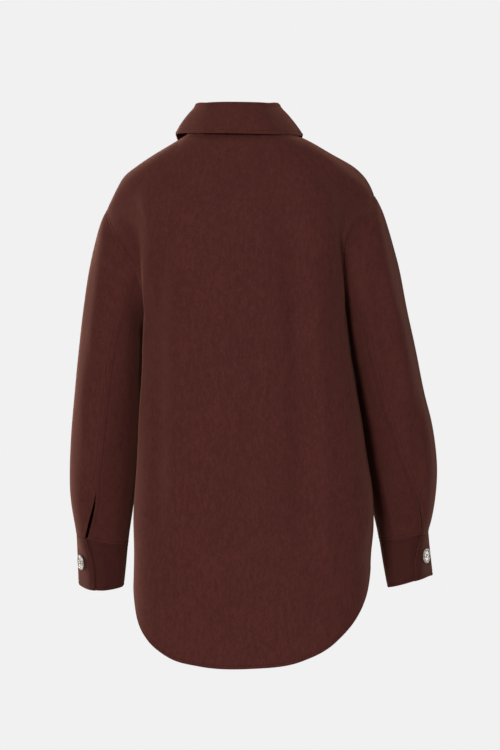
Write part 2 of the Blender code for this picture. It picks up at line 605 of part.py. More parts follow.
def build_sleeves(side_name):
    side = SIDES[side_name]
    t = spaced(SLEEVE_KNOTS, [2, 1, 2, 1, 2, 2, 2, 2, 2])
    back_seam = read(BACK_SEAM[side_name], ("turn",), "at", t)
    front_seam = read(FRONT_SEAM, ("turn",), "at", t)
    reach = np.clip((t - SLIT_TOP) / (1 - SLIT_TOP), 0, 1)[:, None]
    half_slit = SLIT[side_name] * np.sin(reach * math.pi * SLIT_WAVE)
    stations = np.array(ARM_STATIONS)
    f = (stations[(stations >= 240)] - 240.0) / 240.0
    f = np.concatenate([f, (stations[stations <= 120] + 120.0) / 240.0])[None, :]
    start, end = front_seam - 360.0, back_seam - half_slit
    wall("top_sleeve_" + side_name, sleeve(side, start + (end - start) * f, t), wool)
    f = ((stations[(stations >= 120) & (stations <= 240)] - 120.0) / 120.0)[None, :]
    start = back_seam + half_slit
    wall("under_sleeve_" + side_name, sleeve(side, start + (front_seam - start) * f, t), wool,
         out=np.array([-side, 0.0, 0.0]))


def cuff_grid(side_name, steps, rows):
    """Cuff as one band that goes once round and laps over its start; the lapping end lies outside."""
    side = SIDES[side_name]
    at = np.linspace(0, 1, rows)
    top, bottom = CUFF_EDGE[side_name]
    edge = (top + (bottom - top) * at)[:, None]
    f = np.linspace(0, 1, steps)[None, :]
    sweep = 360.0 + CUFF_LAP
    turn = edge - sweep + sweep * f
    grid = ring_points(CUFF[side_name], side, at, turn)
    under = 1 - np.clip(f * sweep / CUFF_LAP - 1.0, 0, 1)
    under = under**2 * (3 - 2 * under)
    return grid - normals(grid) * (under * (CLOTH + LAYER_GAP))[..., None]


def build_cuff(side_name):
    wall("cuff_" + side_name, cuff_grid(side_name, 34, 4), wool)


def button_mesh(name, radius):
    """Half section of a button, from the middle of its face over the rim to the middle of its back."""
    section = [(share * radius, height * BUTTON_THICK) for share, height in
               zip(BUTTON_SECTION["radius"], BUTTON_SECTION["height"])]
    mesh = bpy.data.meshes.new(name)
    edges = [(k, k + 1) for k in range(len(section) - 1)]
    mesh.from_pydata([(r * MM, 0.0, z * MM) for r, z in section], edges, [])
    mesh.materials.append(horn)
    return mesh


def place_button(name, mesh, place, facing):
    """Turned button whose back lies on a place and which faces a direction."""
    button = bpy.data.objects.new(name, mesh)
    garment.objects.link(button)
    screw = button.modifiers.new("turned", "SCREW")
    screw.steps = screw.render_steps = BUTTON_SIDES
    screw.use_merge_vertices = True
    screw.merge_threshold = 0.00005
    screw.use_smooth_shade = True
    button.location = Vector(place * MM)
    button.rotation_euler = Vector(facing).to_track_quat("Z", "Y").to_euler()


def seat(grid, row, column, outward, radius):
    """Middle of a button's back and the way it faces: clear of the highest cloth within its radius."""
    place, facing = grid[row, column], normals(grid)[row, column]
    facing = facing if facing @ outward > 0 else -facing
    apart = (grid - place).reshape(-1, 3)
    height = apart @ facing
    under = (apart**2).sum(axis=-1) - height**2 < radius**2
    near = (apart**2).sum(axis=-1) < 4 * radius**2
    return place + facing * (height[under & near].max() + BUTTON_LIFT), facing


def build_buttons():
    mesh = button_mesh("front_button", FRONT_BUTTON)
    forward = np.array([0.0, -1.0, 0.0])
    grid = body("front", np.linspace(FRONT_KNOTS[5], FRONT_KNOTS[7], 17), np.linspace(0.08, 0.955, 701))
    grid = grid + normals(grid) * (CLOTH + LAYER_GAP)
    for k, height in enumerate(np.linspace(BUTTON_TOP, BUTTON_LOW, BUTTON_COUNT)):
        row = int(np.argmin(np.abs(grid[:, 8, 2] - height)))
        place_button(f"front_button_{k + 1}", mesh, *seat(grid, row, 8, forward, FRONT_BUTTON))
    grid, q = band_grid(41)
    column = int(np.argmin(np.abs(q + 0.5)))
    place_button("band_button", mesh, *seat(grid, 20, column, forward, FRONT_BUTTON))
    mesh = button_mesh("cuff_button", CUFF_BUTTON)
    steps, rows = 386, 40
    for side_name in SIDES:
        grid = cuff_grid(side_name, steps + 1, rows + 1)
        behind = (CUFF_EDGE[side_name][0] - CUFF_BUTTON_TURN[side_name]) * steps / (360 + CUFF_LAP)
        outward = np.array([SIDES[side_name], 0.0, 0.0])
        place_button("cuff_button_" + side_name, mesh,
                     *seat(grid, round(rows * CUFF_BUTTON_DOWN), steps - round(behind), outward, CUFF_BUTTON))


def plan_out(share):
    """Level outward direction of the collar fold."""
    step = 0.004
    along = neck("fold", share + step) - neck("fold", share - step)
    out = np.stack([along[..., 1], -along[..., 0], 0 * along[..., 0]], axis=-1)
    out /= np.linalg.norm(out, axis=-1, keepdims=True)
    return out if out[0] @ neck("fold", share)[0] > 0 else -out


def band_grid(rows):
    """Collar band on the panels' neck edge, from the left end under to the right end over the middle."""
    front = np.array(FRONT_NECK_STATIONS[:0:-1])
    back = np.array(BACK_NECK_STATIONS)
    back = np.concatenate([back, -back[-2::-1]])
    q = np.concatenate([front, back, -front[::-1]])
    edge_row = np.array([0.975, 1.0])
    left = body("front", front_place(front), edge_row)[-1]
    middle = body("back", back_place(back), edge_row)[-1]
    t = spaced(UP_KNOTS, UP_STEPS)
    right = front_grid("right", t)[-1, -len(front):]
    low = np.concatenate([left, middle, right])
    over = lap_over(q) * (CLOTH + LAYER_GAP)
    out = plan_out(q)
    high = neck("fold", q) + out * over[:, None]
    f = np.linspace(0, 1, rows)[:, None, None]
    return low + (high - low) * f + out[None] * (4 * BAND_BULGE * f * (1 - f)), q


def fall_grid(steps, rows):
    """Collar fall: up from the band, over the roll and down to its outer edge."""
    f = np.linspace(-1, 1, steps)
    share = -f * FALL_END
    out, up = plan_out(share), np.array([0.0, 0.0, 1.0])
    start = neck("fold", share) + out * ((CLOTH + LAYER_GAP) * lap_over(share))[:, None]
    edge = np.where((f < 0)[:, None], *(
        read(FALL_EDGE, (n + "_x", n + "_y", n + "_z"), "share", np.abs(f)) * np.array([sign, 1, 1])
        for n, sign in (("left", 1.0), ("right", -1.0))))
    roll = [start + out * o + up * u for o, u in zip(ROLL["out"], ROLL["up"])]
    last = roll[-1]
    drop = [last + (edge - last) * k + out * FALL_BULGE * math.sin(math.pi * k) for k in FALL_DROP]
    knots = ROLL["knot"] + FALL_KNOTS
    at = spaced(knots, [1] * (len(ROLL["knot"]) - 1) + [rows] * len(FALL_KNOTS))
    return np.einsum("tr,rsx->tsx", weights(knots, at), np.array(roll + drop))


def fall_out(grid):
    """Rough outward direction of the collar fall: inwards on its first rows, which stand inside the band."""
    out = plan_out(-np.linspace(-1, 1, grid.shape[1]) * FALL_END)
    return out[None] * np.where(np.arange(len(grid)) < 2, -1.0, 1.0)[:, None, None]


def build_collar():
    wall("collar_band", band_grid(3)[0], wool)
    grid = fall_grid(31, 2)
    wall("collar_fall", grid, wool, seams=("low",), out=fall_out(grid))


for old in list(bpy.data.objects):
    bpy.data.objects.remove(old)
garment = bpy.data.collections.new("shacket")
bpy.context.scene.collection.children.link(garment)
wool = make_material("wool", WOOL, 0.9)
horn = make_material("horn", HORN, 0.35)

build_back()
build_fronts()
for name_of_side in SIDES:
    build_sleeves(name_of_side)
    build_cuff(name_of_side)
build_collar()
build_buttons()
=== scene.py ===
import math
import bmesh
import bpy
import numpy as np
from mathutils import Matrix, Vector


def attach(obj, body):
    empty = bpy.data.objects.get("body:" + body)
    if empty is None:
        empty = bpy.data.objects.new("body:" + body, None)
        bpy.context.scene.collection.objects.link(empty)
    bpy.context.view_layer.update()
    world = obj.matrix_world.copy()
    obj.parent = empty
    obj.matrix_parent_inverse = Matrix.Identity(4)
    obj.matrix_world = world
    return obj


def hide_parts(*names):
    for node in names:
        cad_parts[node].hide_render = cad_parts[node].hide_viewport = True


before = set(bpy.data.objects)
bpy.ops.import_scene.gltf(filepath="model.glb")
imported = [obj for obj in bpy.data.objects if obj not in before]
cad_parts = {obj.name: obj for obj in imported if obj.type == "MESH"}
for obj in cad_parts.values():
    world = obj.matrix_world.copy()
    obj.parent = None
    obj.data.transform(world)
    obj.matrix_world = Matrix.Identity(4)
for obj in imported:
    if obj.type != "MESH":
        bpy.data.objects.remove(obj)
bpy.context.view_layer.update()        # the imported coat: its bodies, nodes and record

# Wool shacket in its worn shape. Tables are in millimetres; +Z is up, the wearer faces -Y, their left is +X.
mm = 0.001
tiny = 1e-9
sides = {"left": 1.0, "right": -1.0}
print("frame loaded:", len(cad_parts), "nodes")

cloth = {"thick": 2.5, "layerGap": 0.5, "outerSetback": -0.1, "innerSetback": 0.2, "setbackReach": 12.0,
         "roll": 0.75, "seamRoll": 0.22, "rollReach": 1.5, "stitchIn": 5.0, "stitchDeep": 0.42,
         "stitchWide": 0.8, "stitchesPerMm": 0.19, "puff": 0.2, "puffIn": 2.8, "puffWide": 1.2,
         "driftLengths": (190.0, 140.0, 105.0, 80.0, 62.0, 47.0), "driftWay": (1.0, 1.0, 0.55),
         "faceFrom": 0.2, "faceGain": 1.4}
lapRise = cloth["thick"] + cloth["layerGap"]        # how far a layer steps out where it laps over another
torso = {
    "z":      [-800, -720, -660, -615, -558, -515, -480, -430, -385, -330, -280],
    "left":   [156, 158, 159, 159, 158.5, 156, 154.5, 152, 148.5, 147, 144.6],
    "right":  [189, 192, 194.5, 196, 200, 195.5, 191, 183, 176, 167, 160],
    "widest": [50, 48, 47, 46, 46, 46, 46, 47, 48, 49, 50],
    "back":   [128, 126, 124, 123, 121, 119, 118, 117, 117, 120, 123],
    "front":  [-141, -138, -136, -135, -133, -131, -129, -128, -128, -132, -135],
}
body = {"backPower": 2.4, "frontPower": 2.1, "underarm": -280.0, "underarmTurn": -15.0, "buttonStand": 20.0,
        "hemLevel": -700.0, "ventTop": -560.0, "ventEase": 90.0, "ventSpread": 5.0, "halfGirth": 480.0,
        "ventReach": 0.1, "hollowEase": 1.5, "backCrown": 1.6, "frontCrown": 1.5, "armholeReach": 0.2}
tail = {
    "back": {"bottom": -784, "left": (-650, 3.2), "right": (-632, 2.25)},
    "front": {"bottom": -768, "left": (-655, 2.6), "right": (-640, 2.3)},
}
armhole = {
    "turn":   [0, 30, 60, 90, 120, 150, 180, 210, 240, 270, 300, 330],
    "leftX":  [200, 199, 188, 170, 154, 143, 139, 142, 154, 170, 186, 198],
    "leftY":  [-4, 24, 50, 62, 64, 48, 0, -50, -66, -66, -54, -30],
    "leftZ":  [-103, -118, -144, -172, -203, -243, -280, -248, -208, -174, -146, -119],
    "rightX": [202, 201, 188, 171, 157, 153, 155, 156, 162, 172, 187, 200],
    "rightY": [-4, 22, 48, 62, 66, 50, 0, -50, -66, -66, -54, -30],
    "rightZ": [-82, -96, -112, -131, -162, -225, -280, -240, -190, -148, -118, -95],
}
shoulder = {
    "y": -4.0,
    "leftX":  [74, 103, 130, 154, 174, 187, 200],
    "leftZ":  [10, -7, -22, -37, -53, -75, -103],
    "rightX": [74, 105, 142, 169, 186, 196, 202],
    "rightZ": [11, -2, -22, -37, -52, -67, -82],
}
neck = {
    "share": [0.0, 0.13, 0.25, 0.37, 0.5],
    "seamX": [0, 49, 74, 57, 0],
    "seamY": [61, 45, -4, -60, -90],
    "seamZ": [9, 12, 10.5, -24, -70],
    "foldX": [0, 43, 60, 47, 0],
    "foldY": [56, 38, -6, -56, -84],
    "foldZ": [46, 46.5, 46, 11, -38],
    "lean": 4.0,
}
upperBack = {
    "turn":         [150, 120, 90, 60, 30],
    "middleY":      [125, 126, 123, 114, 95],
    "middleZ":      [-240, -195, -150, -105, -52],
    "leftRidgeX":   [144, 143.5, 143.5, 145, 157],
    "leftRidgeY":   [76, 88, 90, 85, 60],
    "leftRidgeZ":   [-243, -205, -168, -132, -92],
    "leftHollowX":  [143.5, 147, 151, 157, 176],
    "leftHollowY":  [60, 72, 75, 71, 46],
    "leftHollowZ":  [-244, -204, -170, -137, -103],
    "rightRidgeX":  [156, 149, 145.5, 142, 148],
    "rightRidgeY":  [76, 88, 90, 86, 60],
    "rightRidgeZ":  [-228, -172, -145, -120, -77],
    "rightHollowX": [154.5, 151, 151.5, 154, 170],
    "rightHollowY": [62, 74, 75, 70, 46],
    "rightHollowZ": [-226, -166, -140, -117, -86],
}
upperFront = {
    "turn":    [210, 240, 270, 300, 330],
    "middleY": [-136, -134, -129, -121, -108],
    "middleZ": [-248, -214, -180, -148, -115],
}


def weights(knots, at, period=None):
    # cubic curve through a value at each knot; its slope there is the mean of its neighbours' slopes
    knots = np.asarray(knots, float)
    count = len(knots)
    if period:
        order = np.arange(-3, count + 3)
        wide = weights(knots[order % count] + period * (order // count), np.mod(at, period))
        fold = np.zeros((len(order), count))
        fold[np.arange(len(order)), order % count] = 1.0
        return wide @ fold
    at = np.asarray(at, float)
    step = np.diff(knots)
    slope = np.diff(np.eye(count), axis=0) / step[:, None]
    pull = np.zeros((count, count))
    both = (step[1:] + step[:-1])[:, None]
    pull[1:-1] = (step[1:, None] * slope[:-1] + step[:-1, None] * slope[1:]) / both
    pull[0] = 1.5 * slope[0] - 0.5 * pull[1]
    pull[-1] = 1.5 * slope[-1] - 0.5 * pull[-2]
    span = np.clip(np.searchsorted(knots, at, side="right") - 1, 0, count - 2)
    f = ((at - knots[span]) / step[span])[..., None]
    width = step[span][..., None]
    one = np.eye(count)
    return ((2 * f**3 - 3 * f**2 + 1) * one[span] + (f**3 - 2 * f**2 + f) * width * pull[span]
            + (3 * f**2 - 2 * f**3) * one[span + 1] + (f**3 - f**2) * width * pull[span + 1])


def readTable(table, keys, by, at, period=None):
    # named columns of a table as smooth curves, read at each place
    columns = np.stack([np.asarray(table[k], float) for k in keys], axis=-1)
    return weights(table[by], at, period) @ columns


def smooth(x):
    # 0 below 0, 1 above 1, and 3x squared less 2x cubed between
    x = np.clip(x, 0.0, 1.0)
    return x * x * (3 - 2 * x)


def torsoPoint(z, side, turn):
    # squarish round: cosine and sine of the turn to the power 2 / squareness, times half width and depth
    left, right, widest, back, front = readTable(torso, ("left", "right", "widest", "back", "front"), "z", z)
    power, reach = (body["backPower"], back) if turn > 0 else (body["frontPower"], front)
    c, s = abs(math.cos(math.radians(turn))), abs(math.sin(math.radians(turn)))
    across = c ** (2 / power) if abs(turn) < 90 else 0.0
    x = (left - right) / 2 + side * (left + right) / 2 * across
    return np.array([x, widest + (reach - widest) * s ** (2 / power), z])


def frontMiddlePoint(z, side):
    # edge of the button stand: the turn where the round's share of the half width is the stand's
    left, right = readTable(torso, ("left", "right"), "z", z)
    share = (body["buttonStand"] / ((left + right) / 2)) ** (body["frontPower"] / 2)
    return torsoPoint(z, side, -math.degrees(math.acos(share)))


def armholePoints(side, turn):
    # armhole seam as a closed curve, from the shoulder at 0 over the back to the underarm at 180
    name = "left" if side > 0 else "right"
    p = readTable(armhole, (name + "X", name + "Y", name + "Z"), "turn", turn, 360.0)
    return p * np.array([side, 1.0, 1.0])


def shoulderPoints(side, share):
    # shoulder seam in one upright plane, from the neck at 0 to the armhole at 1
    name = "left" if side > 0 else "right"
    across, up = side * np.asarray(shoulder[name + "X"], float), np.asarray(shoulder[name + "Z"], float)
    p = weights(np.linspace(0, 1, len(across)), share) @ np.stack([across, up], -1)
    return np.stack([p[..., 0], np.full(p.shape[:-1], shoulder["y"]), p[..., 1]], axis=-1)


def neckPoints(kind, share):
    # neck seam or collar fold as a closed ring, mirrored from its half; the fold leans a little sideways
    x, y, z = (np.asarray(neck[kind + axis], float) for axis in "XYZ")
    ring = {"share": neck["share"] + [1 - s for s in neck["share"][-2:0:-1]],
            "x": np.concatenate([x, -x[-2:0:-1]]), "y": np.concatenate([y, y[-2:0:-1]]),
            "z": np.concatenate([z, z[-2:0:-1]])}
    lean = np.array([neck["lean"] if kind == "fold" else 0.0, 0.0, 0.0])
    return readTable(ring, ("x", "y", "z"), "share", share, 1.0) + lean


for sideName, sideSign in sides.items():
    seamEnd = torsoPoint(body["underarm"], sideSign, body["underarmTurn"])
    lowest = armhole["turn"].index(180)
    armhole[sideName + "X"][lowest], armhole[sideName + "Y"][lowest] = abs(seamEnd[0]), seamEnd[1]

backTurns = [body["underarmTurn"], -6, 4, 16, 30, 48, 68]
frontTurns = [body["underarmTurn"], -30, -45, -60, -74]
lowerShares = [0.0, 0.07, 0.17, 0.30, 0.46, 0.63, 0.80, 0.92, 1.0]
lowerPart = 0.62
upperKnots = [0.675, 0.73, 0.785, 0.84, 0.90]
crestSpread = 0.7
crest = [(45.0, 0.94, 15.0), (75.0, 0.975, 5.0)]       # turn over the crest, knot, turn round the arm
upKnots = [lowerPart * s for s in lowerShares] + upperKnots + [c[1] for c in crest] + [1.0]
armTurns = [180.0, 150.0, 120.0, 90.0, 60.0, 30.0] + [c[2] for c in crest] + [0.0]
armKnots = upKnots[len(lowerShares) - 1:]
backHalf = [0.0, 0.11, 0.19, 0.27, 0.37, 0.50, 0.70, 1.0]
frontHalf = [0.0, 0.20, 0.38, 0.58, 0.76, 0.90, 1.0]
backKnots = [s / 2 for s in backHalf] + [1 - s / 2 for s in backHalf[-2::-1]]
frontKnots = [s / 2 for s in frontHalf] + [1 - s / 2 for s in frontHalf[-2::-1]]
backSeamShares = [1.0, 0.9, 0.77, 0.62, 0.30, 0.0]
frontSeamShares = [1.0, 0.62, 0.30, 0.0]
frontNeck = [0.25, 0.37, 0.46, 0.5]
backNeck = [0.0, 0.13, 0.25]
lapEnd, lapEase = 0.54, 0.09        # share round the neck where each front ends, and where its step eases out


def frontPlace(q):
    # place across the front's net for a signed share round the neck; past 0.5 it is on the other side
    a = np.abs(q)
    inner = np.interp(np.minimum(a, 1 - a), frontNeck, frontKnots[3:7])
    return np.where((q > 0) == (a <= 0.5), inner, 1 - inner)


def backPlace(q):
    # the same across the back's net
    inner = np.interp(np.abs(q), backNeck, backKnots[7:4:-1])
    return np.where(q > 0, inner, 1 - inner)


def lapOver(q):
    # 1 where the right side laps over the left, eased to 0 further round
    return 1 - smooth((q + 1 - lapEnd) / lapEase)


def hemHeight(which, side, x):
    # flat in the middle, with a round corner at the side: share to a power, then its root
    middle = torsoPoint(body["hemLevel"], side, 90.0)[0]
    widest = torsoPoint(body["hemLevel"], side, 0.0 if which == "back" else body["underarmTurn"])[0]
    corner, power = tail[which]["left" if side > 0 else "right"]
    share = min(1.0, abs((x - middle) / (widest - middle)))
    return corner + (tail[which]["bottom"] - corner) * (1 - share**power) ** (1 / power)


def lowerColumn(which, side, turn):
    # points up one line of the body, from the hem to the underarm; no turn means the edge of the button stand
    point = frontMiddlePoint if turn is None else torsoPoint
    more = (side,) if turn is None else (side, turn)
    pastSide = which == "back" and turn is not None and turn < 0
    level = body["hemLevel"]
    hemX = torsoPoint(level, side, 0.0)[0] if pastSide else point(level, *more)[0]
    bottom = hemHeight(which, side, hemX)
    return [point(bottom + (body["underarm"] - bottom) * share, *more) for share in lowerShares]


def overCrest(low, top, turn):
    # quarter round from the row below to the edge above, ending level
    s, c = math.sin(math.radians(turn)), math.cos(math.radians(turn))
    return top + (low - top) * np.array([crestSpread * s, s, 1 - c])


def backColumns(side):
    # lines up one half of the back: a hollow beside the arm, a ridge, then a squarish round to the middle
    name = "left" if side > 0 else "right"
    columns = [lowerColumn("back", side, t) for t in backTurns]
    rows = []
    for k, turn in enumerate(upperBack["turn"]):
        edge = armholePoints(side, turn)
        ridge, hollow = (np.array([upperBack[name + what + axis][k] for axis in "XYZ"])
                         * np.array([side, 1, 1]) for what in ("Ridge", "Hollow"))
        middle = np.array([0.0, upperBack["middleY"][k], upperBack["middleZ"][k]])
        row = [edge, (edge + hollow) / 2 + np.array([0.0, body["hollowEase"], 0.0]), hollow, ridge]
        start, power = math.radians(backTurns[3]), 2 / body["backPower"]
        ridgeDeep = math.sin(start) ** power
        for t in backTurns[4:]:
            across = (math.cos(math.radians(t)) / math.cos(start)) ** power
            deep = (math.sin(math.radians(t)) ** power - ridgeDeep) / (1 - ridgeDeep)
            row.append(np.array([ridge[0] * across, ridge[1] + (middle[1] - ridge[1]) * deep,
                                 middle[2] + (ridge[2] - middle[2]) * across ** body["backCrown"]]))
        rows.append(row)
    neckShare = backNeck[1] if side > 0 else 1 - backNeck[1]
    top = [shoulderPoints(side, s) for s in backSeamShares] + [neckPoints("seam", neckShare)]
    return finishColumns(columns, rows, top, side, 1.0)


def frontColumns(side):
    # lines up one half of the front: a squarish round from the arm to the button stand
    columns = [lowerColumn("front", side, t) for t in frontTurns + [None]]
    rows, power = [], 2 / body["frontPower"]
    for k, turn in enumerate(upperFront["turn"]):
        edge = armholePoints(side, turn)
        middle = np.array([0.0, upperFront["middleY"][k], upperFront["middleZ"][k]])
        row = []
        for t in frontTurns + [None]:
            if t is None:
                across = body["buttonStand"] / abs(edge[0])
                deep = (1 - across ** body["frontPower"]) ** (1 / body["frontPower"])
            else:
                across = (math.cos(math.radians(t)) / math.cos(math.radians(body["underarmTurn"]))) ** power
                start = math.sin(math.radians(-body["underarmTurn"])) ** power
                deep = (math.sin(math.radians(-t)) ** power - start) / (1 - start)
            row.append(np.array([edge[0] * across, edge[1] + (middle[1] - edge[1]) * deep,
                                 middle[2] + (edge[2] - middle[2]) * across ** body["frontCrown"]]))
        rows.append(row)
    neckShares = [s if side > 0 else 1 - s for s in frontNeck[1:3]]
    top = [shoulderPoints(side, s) for s in frontSeamShares] + [neckPoints("seam", s) for s in neckShares]
    return finishColumns(columns, rows, top, side, -1.0)


def finishColumns(columns, rows, top, side, facing):
    # each line goes on from the underarm over the crest to the top edge
    for k, column in enumerate(columns):
        column.extend(row[k] for row in rows)
        for turn, _, armTurn in crest:
            onEdge = armholePoints(side, armTurn if facing > 0 else -armTurn)
            column.append(onEdge if k == 0 else overCrest(rows[-1][k], top[k], 90 - turn))
        column.append(top[k])
    return columns


def middleColumn(which):
    # points up the middle of a panel, on the same levels as the other lines
    table = upperBack if which == "back" else upperFront
    column = lowerColumn(which, 1.0, 90 if which == "back" else -90)
    column += [np.array([0.0, y, z]) for y, z in zip(table["middleY"], table["middleZ"])]
    top = neckPoints("seam", 0.0 if which == "back" else 0.5)
    column += [overCrest(column[-1], top, 90 - turn) for turn, _, _ in crest]
    return column + [top]


def panelNet(which):
    # a whole panel as rows of points, from its left edge over the middle to its right edge
    half = backColumns if which == "back" else frontColumns
    columns = half(1.0) + [middleColumn(which)] + half(-1.0)[::-1]
    return np.array(columns).transpose(1, 0, 2)


nets = {"back": (backKnots, panelNet("back")), "front": (frontKnots, panelNet("front"))}


def topEdge(which, s):
    # shoulder seam, neck seam, shoulder seam
    knots, shares = (backKnots, backSeamShares) if which == "back" else (frontKnots, frontSeamShares)
    left = s <= 0.5
    inner = np.where(left, s, 1 - s)
    neckAt = knots[len(shares) - 1]
    along = np.interp(inner, knots[:len(shares)], shares)
    neckShares = backNeck[::-1] if which == "back" else frontNeck
    around = np.interp(inner, knots[len(shares) - 1:len(knots) // 2 + 1], neckShares)
    ring = np.where(left, around, 1 - around)
    onShoulder = np.where(left[:, None], shoulderPoints(1.0, along), shoulderPoints(-1.0, along))
    return np.where((inner < neckAt)[:, None], onShoulder, neckPoints("seam", ring))


def panelPoints(which, s, t):
    # the net read smoothly both ways, then drawn onto the exact neck, shoulder and armhole seams
    knots, points = nets[which]
    t = np.asarray(t, float)
    s = np.broadcast_to(s, (len(t), np.shape(s)[-1]))
    up = weights(upKnots, t)
    grid = np.einsum("tr,rcx,tsc->tsx", up, points, weights(knots, s), optimize=True)
    fade = np.clip((t - upperKnots[-1]) / (1 - upperKnots[-1]), 0, 1)[:, None, None] ** 2
    base = np.einsum("rcx,sc->rsx", points[-1:], weights(knots, s[-1]))[0]
    grid = grid + fade * (topEdge(which, s[-1]) - base)
    arm = np.interp(t, armKnots, armTurns)
    for side, edge in ((1.0, 0.0), (-1.0, 1.0)):
        near = np.clip(1 - np.abs(s - edge) / body["armholeReach"], 0, 1)[..., None] ** 2
        exact = armholePoints(side, arm if which == "back" else 360.0 - arm)
        plain = np.einsum("tr,rcx,c->tx", up, points, weights(knots, [edge])[0], optimize=True)
        topFix = fade[:, 0] * (topEdge(which, np.array([edge])) - points[-1, 0 if side > 0 else -1])
        grid = grid + near * ((t >= lowerPart)[:, None] * (exact - plain - topFix))[:, None, :]
    return grid


def ringPoints(table, side, at, turn):
    # squarish round, turned about the arm, tilted and drooping at the back
    where = {**table["both"], **table["left" if side > 0 else "right"]}
    where["at"] = np.linspace(0, 1, len(where["x"]))
    columns = readTable(where, ("x", "y", "z", "wide", "deep", "square", "turn", "tilt", "droop"), "at", at)
    x, y, z, wide, deep, square, lean, tilt, droop = np.moveaxis(columns, -1, 0)[..., None]
    a, lean = np.radians(turn), np.radians(lean)
    c, s = np.cos(a), np.sin(a)
    roundOff = (np.abs(c) ** square + np.abs(s) ** square) ** (-1 / square)
    across, deepPart = wide * c * roundOff, deep * s * roundOff
    return np.stack([side * (x + across * np.cos(lean) - deepPart * np.sin(lean)),
                     y + across * np.sin(lean) + deepPart * np.cos(lean), z + tilt * c - droop * s], axis=-1)


class Wire:
    # a node socket that can stand in sums: each operator adds a Math node
    def __init__(self, tree, socket):
        self.tree, self.socket = tree, socket

    def make(self, kind, settings=(), values=(), out=0):
        # any node: its settings first, then the values or links of its sockets
        node = self.tree.nodes.new(kind)
        for key, value in dict(settings).items():
            if key == "stops":
                ramp = node.color_ramp.elements
                for k, (place, colour) in enumerate(value):
                    stop = ramp[k] if k < 2 else ramp.new(place)
                    stop.position, stop.color = place, (*colour, 1.0)
            else:
                setattr(node, key, value)
        for key, value in (values.items() if isinstance(values, dict) else enumerate(values)):
            if isinstance(value, Wire):
                self.tree.links.new(value.socket, node.inputs[key])
            else:
                node.inputs[key].default_value = value
        return Wire(self.tree, node.outputs[out])

    def math(self, operation, *values):
        return self.make("ShaderNodeMath", {"operation": operation}, values)

    def __add__(self, other):
        return self.math("ADD", self, other)

    def __sub__(self, other):
        return self.math("SUBTRACT", self, other)

    def __rsub__(self, other):
        return self.math("SUBTRACT", other, self)

    def __mul__(self, other):
        return self.math("MULTIPLY", self, other)

    __radd__, __rmul__ = __add__, __mul__

    def ramp(self, low, high):
        # 0 at low, 1 at high, straight between
        return self.make("ShaderNodeMapRange", {"clamp": True}, [self, low, high, 0.0, 1.0])

    def mix(self, first, second):
        # blend of two colours, self being the share of the second
        ends = [c if isinstance(c, Wire) else (*c, 1.0) for c in (first, second)]
        return self.make("ShaderNodeMix", {"data_type": "RGBA"}, {0: self, 6: ends[0], 7: ends[1]}, 2)

    def toward(self, colour, share):
        # this colour, moved a fixed share of the way to another
        return self.make("ShaderNodeMix", {"data_type": "RGBA"}, {0: share, 6: self, 7: (*colour, 1.0)}, 2)

    def noise(self, scale, detail=2.0, rough=0.5, bend=0.0):
        # cloudy pattern over these places
        return self.make("ShaderNodeTexNoise", {}, {"Vector": self, "Scale": scale, "Detail": detail,
                                                    "Roughness": rough, "Distortion": bend})

    def bump(self, distance, strength):
        # slant of the surface for a height
        return self.make("ShaderNodeBump", {}, {"Height": self, "Distance": distance, "Strength": strength})

    def mark(self, name):
        # a number kept at each point of the mesh
        return self.make("ShaderNodeAttribute", {"attribute_name": name}, out=2)


def startMaterial(name, fixed):
    # a Principled surface; values that are the same all over are set on the shader itself
    material = bpy.data.materials.new(name)
    material.use_nodes = True
    tree = material.node_tree
    shader = tree.nodes["Principled BSDF"]
    for key, value in fixed.items():
        shader.inputs[key].default_value = value
    place = Wire(tree, tree.nodes.new("ShaderNodeTexCoord").outputs["Object"])
    return material, place, shader


def feed(shader, **wires):
    for key, wire in wires.items():
        wire.tree.links.new(wire.socket, shader.inputs[key.replace("_", " ")])


woolLook = {
    "deep": (0.033, 0.0078, 0.0068), "main": (0.070, 0.0172, 0.0148), "light": (0.110, 0.032, 0.025),
    "fleck": (0.17, 0.062, 0.045), "mainShare": 0.55, "fleckShare": 0.35, "fleckSpan": (0.70, 0.78),
    "sheen": 0.19, "sheenRough": 0.45, "sheenTint": (1.0, 0.42, 0.28, 1.0), "gloss": 0.1,
    "rough": (0.80, 0.16),
    "mottleScale": 17.0, "clumpScale": 182.0, "napScale": 520.0, "fleckScale": 884.0, "fibreScale": 1900.0,
    "brushed": (1.0, 1.0, 0.42), "toneSpan": (0.36, 0.64), "bump": (0.0005, 0.85),
    "tone": {"clumps": 0.40, "nap": 0.34, "fibre": 0.16, "mottle": 0.10},
    "raised": {"nap": 0.55, "fibre": 0.25, "clumps": 0.5, "stitch": 0.9},
    # the stitch dents are also darkened in colour by this share, a painted shade
    "stitchShadeShare": 0.5, "stitchSpan": (0.05, 0.80), "stitchEnds": (0.18, 0.44),
}


